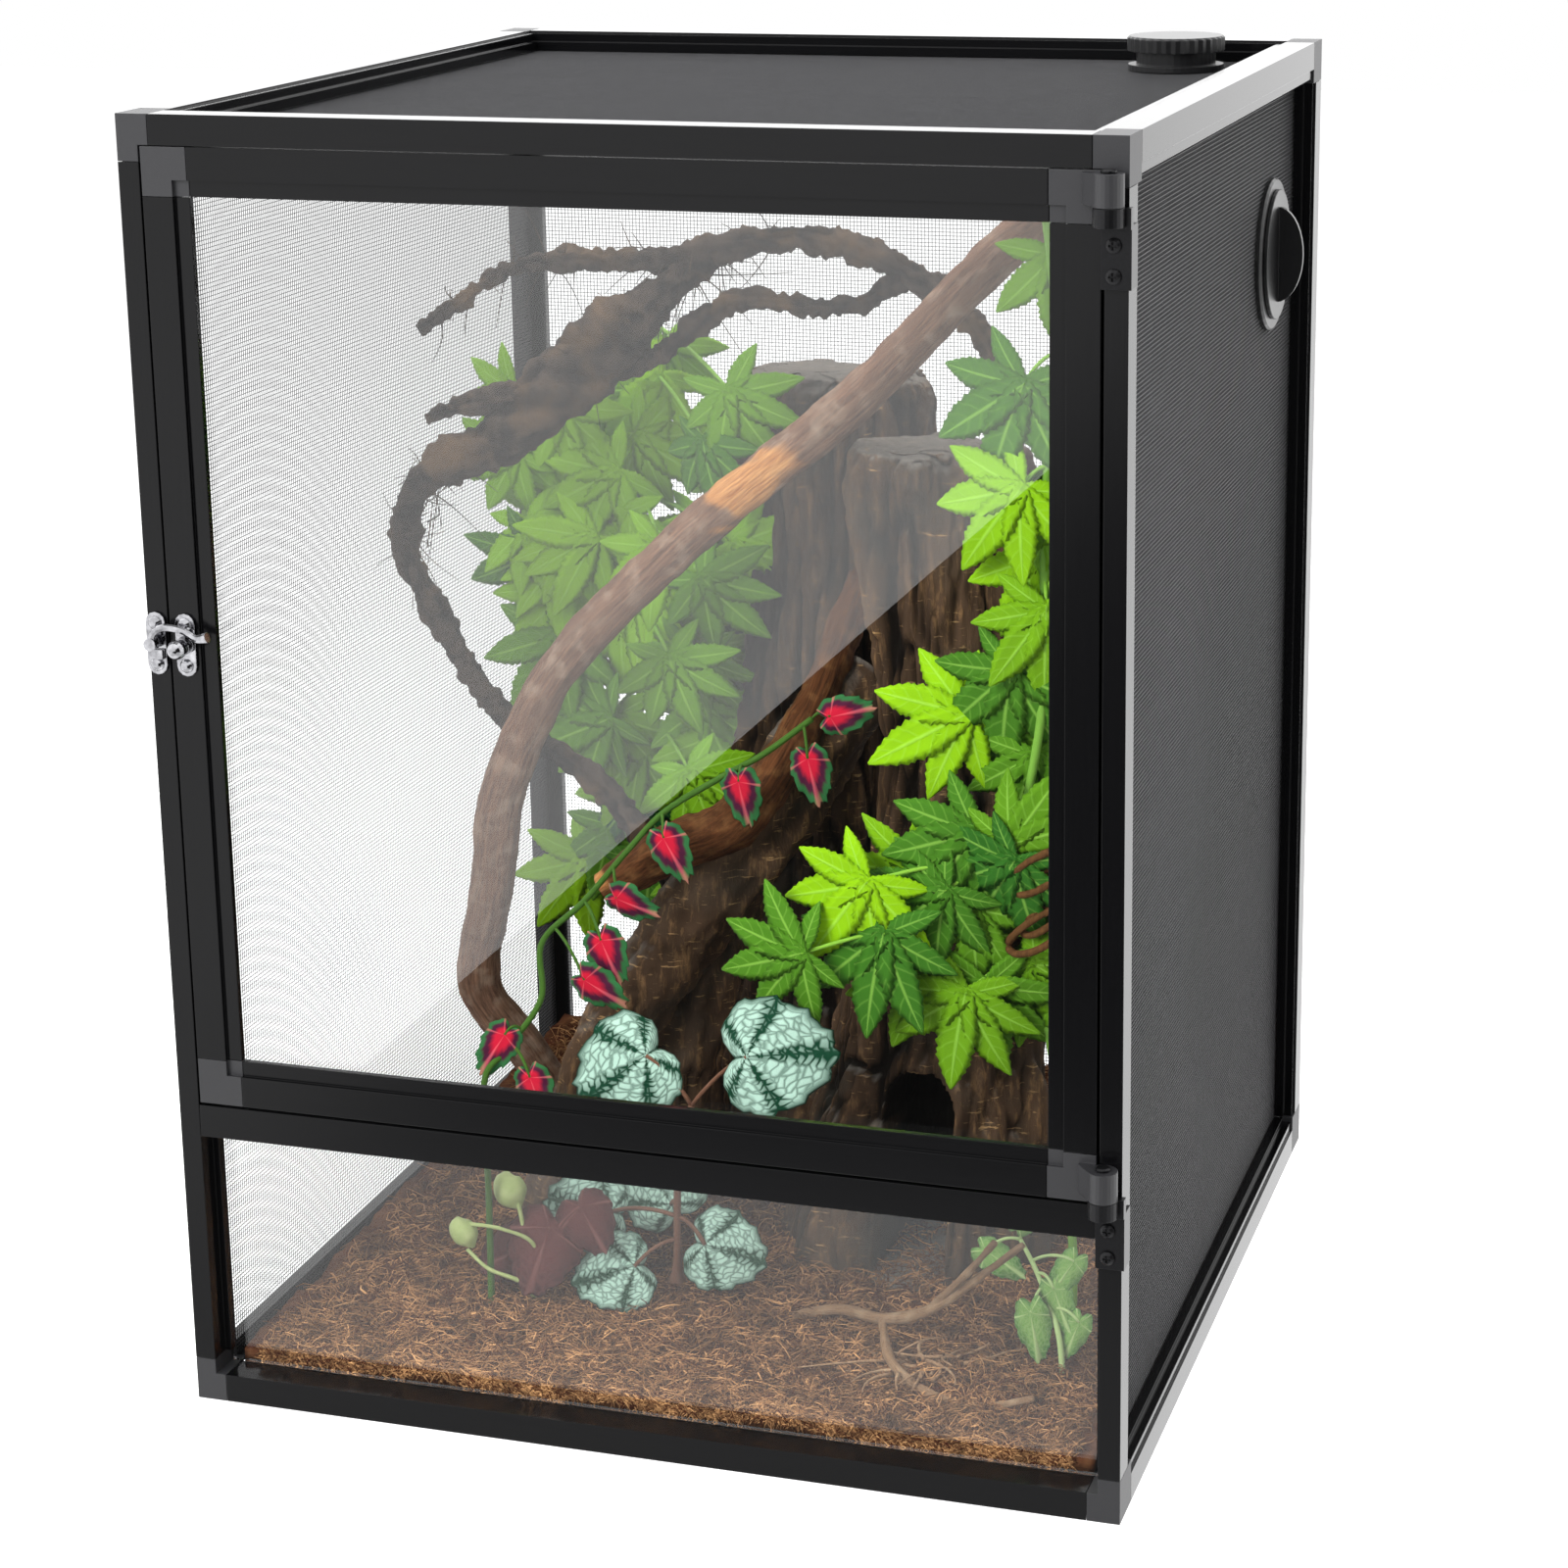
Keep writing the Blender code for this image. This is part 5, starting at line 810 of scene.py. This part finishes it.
# Painted light: the left bunch's extra leaves get light tones, the upper ones the lightest, for the light
# that shines through the backlit bunch
more_left = scattered(26, (-172, 84, 300), (-52, 116, 455), (42, 52), (0.8, 1.0), 8)
more_left += scattered(16, (-150, 70, 170), (-50, 116, 310), (42, 52), (0.0, 0.9), 9)
for side, stem, leaves, seed in (("right", GARLAND_RIGHT, RIGHT_LEAVES + more_right, 71),
                                 ("left", GARLAND_LEFT, LEFT_LEAVES + more_left, 73)):
    plant(f"silk_bunch_{side}", stem, palms(leaves, seed), 1.0, silk, [f"leaf_garland_{side}"],
          STALK_MARK, STEM_MARK)

# Silver-leaved plant: heart-shaped silk leaves on wire stalks that stand in the bedding. They are printed a
# matt silver-white between dark green veins that look pressed in, with a dark rim
BEGONIA_STEM = [(-28, -95, 16, 6), (-28, -96, 26, 5), (-26, -100, 40, 2.2), (-22, -106, 90, 1.8),
                (-12, -112, 128, 1.6)]
SILVER_LEAVES = [(20, -122, 160, 58, 100, 25), (-34, -114, 152, 54, -50, 20), (-65, -88, 56, 46, -95, 30),
                 (-36, -80, 60, 44, -150, 30), (-44, -112, 40, 42, -60, 40), (-10, -104, 52, 42, 80, 30)]
BROAD_ROWS = 30
BROAD_SIDES = 48


def hearts(leaves, ratio, seed, ruffle=0.035):
    """Broad leaves as discs (rings round a point near the stalk): an oval with a notch at its foot, a waved
    rim and a bowl-like dip. The marks are the place on the leaf and how near the rim it is."""
    chance = np.random.default_rng(seed)
    data = np.array(leaves, float)
    turn = turns(BROAD_SIDES)[None, None]
    u = 0.5 * np.cos(turn) + 0.25
    v = 0.5 * ratio * np.sin(turn) * (1 - 0.3 * np.cos(turn))
    notch = 1 - 0.55 * np.exp(-((np.abs(turn - math.pi)) / 0.22) ** 2)
    phase = chance.uniform(0, 6, (len(data), 1, 1))
    rim = notch * (1 + ruffle * np.sin(turn * 11 + phase) + ruffle * 0.6 * np.sin(turn * 23 + phase))
    level = np.linspace(0, 1, BROAD_ROWS)
    level = np.concatenate((level, level[::-1][1:]))[None, :, None]
    side = np.where(np.arange(2 * BROAD_ROWS - 1) < BROAD_ROWS, 1, -1)[None, :, None]
    size = data[:, 3][:, None, None]
    x = size * u * rim * np.maximum(level, 0.02)
    y = size * v * rim * np.maximum(level, 0.02)
    dip = 0.07 * (np.sin(turn * 5 + phase) * level ** 3 * 0.5 - level ** 2)
    z = 0.35 * side * (1 - level ** 2) + size * dip
    facing, way = leaf_ways(data)
    marks = np.stack((x / size, y / size, level + 0 * x), -1)
    return laid(data[:, :3], way, facing, x, y, z)[:, :, ::-1], marks[:, :, ::-1], data


def veined(tree, count, width, net_share=0.0, halo_share=0.0):
    """From a broad leaf's marks, how near the rim it is, and its veins: peaks of a cosine that fans out from
    the stalk, over a net of fine ones and a soft halo, each as strong as asked."""
    blade = add(tree, "Attribute", attribute_name="blade").outputs["Vector"]
    cut = add(tree, "SeparateXYZ", {0: blade}).outputs
    fan = add(tree, "Math", {0: cut["Y"], 1: cut["X"]}, operation="ARCTAN2")
    fan = add(tree, "Math", {0: fan, 1: float(count)}, operation="MULTIPLY")
    fan = add(tree, "Math", {0: fan}, operation="COSINE")
    halo = add(tree, "MapRange", {"Value": fan, "From Min": 0.1, "From Max": 1.1, "To Max": halo_share})
    main = add(tree, "MapRange", {"Value": fan, "From Min": 1 - width, "From Max": 1.0})
    cells = add(tree, "TexVoronoi", {"Vector": blade, "Scale": 9.0}, feature="DISTANCE_TO_EDGE")
    net = add(tree, "MapRange", {"Value": cells, "From Min": 0.2, "From Max": 0.02, "To Max": net_share})
    fine = add(tree, "Math", {0: net, 1: halo}, operation="ADD")
    return cut["Z"], add(tree, "Math", {0: main, 1: fine}, operation="MAXIMUM")


silver, tree, shader = begun("silver_print", "#B8CCC0", 0.6, specular=0.15)
rim, veins = veined(tree, count=6, width=0.08, net_share=0.62, halo_share=0.72)
edge = add(tree, "MapRange", {"Value": rim, "From Min": 0.86, "From Max": 1.0})
veins = add(tree, "Math", {0: veins, 1: edge}, operation="MAXIMUM")
stem = add(tree, "Math", {0: rim, 1: -0.5}, operation="LESS_THAN")
layers = [(veins, "#0C3422"), (stem, "#6A4A3A")]
layered(tree, shader, "#A6C4B4", layers, veins, strength=0.6, depth=0.6, invert=True)
plant("silver_leaf_plant", BEGONIA_STEM, hearts(SILVER_LEAVES, ratio=0.95, seed=81), 1.1, silver,
      ["begonia_plant"])

# Red and green leaf vine: small silk leaves with ruffled rims, on a wire stem that climbs from the bedding.
# They are printed crimson in the middle, plum round it and green at the rim, with pink veins
COLEUS_STEM = [(-112, -132, 16, 1.8), (-112, -130, 80, 1.6), (-112, -130, 135, 1.6), (-104, -120, 150, 1.6),
               (-92, -103, 171, 1.6), (-95, -92, 196, 1.6), (-78, -78, 214, 1.6), (-59, -66, 238, 1.6),
               (-43, -56, 256, 1.6), (-18, -46, 272, 1.6), (3, -38, 284, 1.6), (24, -26, 300, 1.6)]
RED_LEAVES = [(-89, -127, 140, 30, 20, 10), (-104, -121, 158, 30, -30, 20), (-70, -100, 182, 32, 60, 0),
              (-64, -92, 200, 32, 25, 15), (-60, -80, 218, 30, 70, -10), (-40, -66, 246, 32, 30, 10),
              (-7, -48, 272, 32, 10, 0), (24, -34, 282, 32, 15, 10), (35, -31, 303, 30, 105, 12)]
red, tree, shader = begun("red_print", "#C0203A", 0.5, specular=0.15)
rim, veins = veined(tree, count=5, width=0.10)
middle = add(tree, "MapRange", {"Value": rim, "From Min": 0.36, "From Max": 0.58})
outer = add(tree, "MapRange", {"Value": rim, "From Min": 0.72, "From Max": 0.84})
pale = add(tree, "Math", {0: veins, 1: 0.35}, operation="MULTIPLY")
stem = add(tree, "Math", {0: rim, 1: -0.5}, operation="LESS_THAN")
layers = [(middle, "#42142C"), (outer, "#2A5E34"), (pale, "#F0707A"), (stem, "#3A5A20")]
layered(tree, shader, "#B41830", layers, veins, strength=0.5, depth=0.5)
plant("red_leaf_vine", COLEUS_STEM, hearts(RED_LEAVES, ratio=0.62, seed=83, ruffle=0.05), 0.8, red,
      ["coleus_vine"])

# Small plants at the foot: light-green oval leaves on curved stems at the right, and a dark red one at the
# left. Both are matt printed silk, darker at the rim, with paler veins a little raised
SPRIG_STEM = [(176, -128, 16, 1.6), (172, -124, 40, 1.4), (160, -114, 62, 1.2), (150, -108, 76, 1.0)]
SPRIG_LEAVES = [(169, -119, 58, 30, 20, 20), (134, -112, 70, 30, 60, 30), (160, -128, 49, 34, 10, 5),
                (177, -112, 70, 28, -30, 25), (150, -110, 84, 26, 150, 10), (182, -122, 44, 26, -20, 10)]
WINE_STEM = [(-92, -118, 16, 1.6), (-90, -120, 34, 1.4), (-84, -122, 52, 1.2)]
WINE_LEAVES = [(-84, -122, 60, 46, -15, 25), (-98, -112, 44, 38, -60, 30), (-70, -116, 70, 34, 30, 30)]


def leaf_print(name, middle, rim_colour, vein):
    """Printed silk for a broad leaf: a middle that fades to its rim, under fan veins and a fine net."""
    material, tree, shader = begun(name, middle, 0.55, specular=0.15)
    rim, veins = veined(tree, count=5, width=0.08, net_share=0.35)
    outer = add(tree, "MapRange", {"Value": rim, "From Min": 0.55, "From Max": 1.0})
    layered(tree, shader, middle, [(outer, rim_colour), (veins, vein)], veins, strength=0.6, depth=0.6)
    return material


sprig = leaf_print("sprig_print", "#6E9A48", "#2E6A22", "#A8C080")
wine = leaf_print("wine_print", "#4A2424", "#2A1012", "#6A4440")
plant("oval_leaf_sprig", SPRIG_STEM, hearts(SPRIG_LEAVES, ratio=0.5, seed=85), 0.8, sprig)
plant("wine_leaf_plant", WINE_STEM, hearts(WINE_LEAVES, ratio=0.8, seed=87), 0.9, wine)

# Tendrils and tie: pale tendrils with round buds of soft moulded plastic, waxy and mottled, at the left of
# the foot, and a tie of raffia wound round the right bunch's stem, dull brown with short fine streaks
TENDRILS = [[(-96, -118, 16, 1.2), (-96, -122, 44, 1.1), (-100, -122, 70, 1.1), (-108, -116, 84, 1.0)],
            [(-94, -118, 16, 1.2), (-90, -126, 50, 1.1), (-104, -134, 62, 1.0), (-126, -135, 63, 1.0)],
            [(-92, -118, 16, 1.2), (-96, -132, 34, 1.1), (-110, -138, 42, 1.0), (-122, -136, 50, 1.0)],
            [(-109, -115, 84, 0.9), (-108, -117, 80, 6.5), (-104, -119, 73, 7.5), (-100, -120, 67, 0.9)],
            [(-127, -135, 66, 0.9), (-126, -135, 62, 5.5), (-122, -135, 56, 6.0), (-119, -135, 51, 0.9)]]
bud_wax, tree, shader = begun("bud_wax", "#9AA86A", 0.5, specular=0.2)
mottled(tree, shader, "#7E9050", "#B4BC84", size=5, bump=0.2)
for number, stations in enumerate(TENDRILS, 1):
    rings = limb(stations, 60, 12, rough=0.15, fine=0.1, seed=120 + number)[0]
    wrapped(f"tendril_{number}", rings, bud_wax, "silk_leaf")
raffia, tree, shader = begun("raffia", "#6A4A30", 0.8, specular=0.1)
mottled(tree, shader, "#2E1C12", "#74502F", size=1.5, stretch=(1, 1, 6), bump=0.5)
TIE_CENTRE = (152, -72, 236)
TIE_LOOPS = 9
TIE_R = 1.9
turn = np.linspace(0, TIE_LOOPS * math.tau, 260)
loop = 13 + 4 * np.sin(turn * 0.37)
rise = 16 * np.sin(turn * 0.21) + 12 * np.cos(turn + 0.9 * np.sin(turn * 0.31))
tie = np.stack((loop * np.cos(turn), loop * 0.8 * np.sin(turn), rise, 0 * turn), -1) + (*TIE_CENTRE, TIE_R)
wrapped("raffia_tie", limb(tie, 700, 8, rough=0.3, fine=0.2, seed=131)[0], raffia, "twisted_vine")

# Root twigs: thin dry roots and a flat tangle of finer ones that lie loose on the bedding. They look pale
# and bleached, with streaks along the grain
TWIGS = [[(34, -106, 21, 2), (63, -115, 32, 2.4), (88, -125, 35, 2.6), (116, -130, 48, 2.6),
          (157, -130, 84, 1.6)],
         [(86, -124, 35, 2.2), (98, -150, 27, 2.4), (118, -166, 22, 2.4), (146, -171, 20, 2),
          (172, -168, 26, 1.6)],
         [(112, -129, 46, 2), (130, -134, 67, 1.8), (146, -140, 88, 1.4)]]
NOWHERE = (0, 0, -900)
TANGLE_COUNT = 26
twig_wood = wood("dry_twig", "#6A4E38", "#A88664", "#C0A484")
for number, stations in enumerate(TWIGS, 1):
    rings = limb(stations, 90, 12, rough=0.45, fine=0.25, seed=90 + number)[0]
    wrapped(f"root_twig_{number}", rings, twig_wood, "branch_wood", ["root_twigs"],
            **grained(rings, stations, NOWHERE, (1, 1, 1)))
knot = (112, -150, 25) + np.random.default_rng(91).normal(0, 1, (TANGLE_COUNT, 3)) * (15, 10, 1.5)
rings = rootlets(knot, lengths=(16, 44), radius=1.1, droop=0.0, seed=92, flat=0.12)
wrapped("root_tangle", rings, twig_wood, "branch_wood", ["root_twigs"], way=rings * (0.4, 0.4, 0.1),
        bare=0 * rings[..., 0])

# Bedding: loose coconut fibre tipped in over the base panel, a lumpy bed with thousands of short curled
# strands on it. It looks matt and dusty, from dark brown to straw, in patches 17 mm wide
BED_FRONT = -206.9
BED_BACK = 209.0
BED_HALF = 209.0
BED_FLOOR = 13.6
BED_DEPTH = 6
BED_RISE = 17
CELLS = 16
BED_GRID = 150
WALL_BACK = 1.3


def bed_height(x, y):
    """The bed's height: it rises to the back by a power of the way there, with a lump at each corner of a
    coarse grid, blended between corners, and a mound of noise."""
    share = np.clip((y - BED_FRONT) / (BED_BACK - BED_FRONT), 0, 1)
    i, j = np.meshgrid(np.arange(CELLS + 1), np.arange(CELLS + 1), indexing="ij")
    lump = np.sin(2.1 * i + 1.7 * np.sin(1.3 * j)) + np.sin(1.9 * j + 0.8 * i)
    across = np.clip((x + BED_HALF) / (2 * BED_HALF), 0, 1) * CELLS
    along = share * CELLS
    a = np.minimum(across.astype(int), CELLS - 1)
    b = np.minimum(along.astype(int), CELLS - 1)
    s, t = across - a, along - b
    near = lump[a, b] * (1 - s) + lump[a + 1, b] * s
    far = lump[a, b + 1] * (1 - s) + lump[a + 1, b + 1] * s
    mound = 2.2 * noise(np.stack((x, y, 0 * x), -1), (17, 17, 50), 4)
    return BED_FLOOR + BED_DEPTH + BED_RISE * share ** 1.3 + 0.75 * (near * (1 - t) + far * t) + mound


coir, tree, shader = begun("coconut_fibre", "#8A5A40", 0.9, specular=0.05)
place = add(tree, "TexCoord").outputs["Object"]
patch = add(tree, "TexNoise", {"Vector": place, "Scale": 60.0, "Detail": 4.0})
dim = {"Value": patch, "From Min": 0.35, "From Max": 0.6, "To Min": 0.6, "To Max": 0.0}
dim = add(tree, "MapRange", dim)
speck = add(tree, "TexNoise", {"Vector": place, "Scale": 700.0, "Detail": 3.0})
tint = add(tree, "Attribute", attribute_name="tint").outputs["Fac"]
layered(tree, shader, "#4C2617", [(tint, "#E4AC74"), (dim, "#2E180E")], speck, strength=0.8, depth=1.0)

x, y = np.meshgrid(np.linspace(-BED_HALF, BED_HALF, BED_GRID),
                   np.linspace(BED_FRONT + WALL_BACK, BED_BACK, BED_GRID), indexing="ij")
flat = np.stack((x, y, 0 * x), -1)
z = bed_height(x, y) - 0.5 + 1.4 * noise(flat, (7, 7, 50), 5) + noise(flat, (3.2, 3.2, 50), 6)
upper = np.stack((x, y, z), -1).reshape(-1, 3)
lower = np.stack((x, y, np.full_like(z, BED_FLOOR)), -1).reshape(-1, 3)
total = BED_GRID ** 2
index = np.arange(total).reshape(BED_GRID, BED_GRID)
cover = np.stack((index[:-1, :-1], index[1:, :-1], index[1:, 1:], index[:-1, 1:]), -1).reshape(-1, 4)
rim = np.concatenate((index[:, 0], index[-1, 1:], index[:-1, -1][::-1], index[0, 1:-1][::-1]))
following = np.roll(rim, -1)
faces = np.concatenate((cover, cover[:, ::-1] + total,
                        np.stack((following, rim, rim + total, following + total), -1))).tolist()
tints = np.concatenate((0.06 + 0.1 * noise(upper, (3, 3, 9), 9), np.full(total, 0.1)))
made("bedding", np.concatenate((upper, lower)), faces, coir, ["substrate_bed"],
     {"tint": tints})


def strands(count, lengths, radius, lift, edge, seed):
    """Short curled strands that lie on the bed or along its front edge: a heading that turns evenly, steps
    summed to a line, an arch of a square law over the bed, and three thin sides that taper to the ends."""
    chance = np.random.default_rng(seed)
    front = BED_FRONT + 0.5
    deep = BED_FRONT + 3 if edge else BED_BACK - 9
    middle = chance.uniform((-BED_HALF + 9, 0), (BED_HALF - 9, 1), (count, 2))
    middle[:, 1] = front + (deep - front) * middle[:, 1] ** 1.7
    heading = chance.uniform(0, math.tau, count)
    length = chance.uniform(*lengths, count)
    bend = chance.normal(0, 1.8, count)
    t = np.linspace(-0.5, 0.5, 5)[None]
    angle = heading[:, None] + bend[:, None] * t * 2
    line = np.cumsum(np.stack((np.cos(angle), np.sin(angle)), -1) * (length / 4)[:, None, None], 1)
    line += middle[:, None] - line.mean(1, keepdims=True)
    line = np.clip(line, (-BED_HALF + 1, front), (BED_HALF - 1, BED_BACK - 1))
    height = bed_height(line[..., 0], line[..., 1]) + chance.uniform(*lift, (count, 1))
    height += chance.normal(0, 1.2, (count, 1)) * t * 4
    height += np.abs(chance.normal(0, 1.2, (count, 1))) * (1 - 4 * t * t)
    path = np.concatenate((line, height[..., None]), -1)
    thick = radius * chance.uniform(0.6, 1.2, (count, 1, 1, 1)) * (1 - 1.6 * t ** 2)[..., None, None]
    rings = path[:, :, None] + around(path, 3, (0, 0, 1)) * thick
    shade = np.clip(chance.normal(0.32, 0.32, (count, 1, 1)), 0, 1)
    return rings, shade + np.zeros(rings.shape[:3])


# Kinds of strand: (how many, lengths, radius, lift over the bed, whether along the front edge)
LOOSE = [(6600, (3, 9), 0.55, (-0.3, 1.4), False), (6600, (5, 16), 0.36, (0, 2.6), False),
         (6600, (8, 30), 0.26, (0.5, 4), False), (5000, (3, 10), 0.4, (-5.5, 0.4), True),
         (6600, (4, 14), 0.3, (0.3, 2.2), False)]
for number, kind in enumerate(LOOSE, 1):
    rings, tints = strands(*kind, 100 + number)
    wrapped(f"loose_fibre_{number}", rings, coir, "coconut_fibre", ["substrate_bed"], tint=tints)
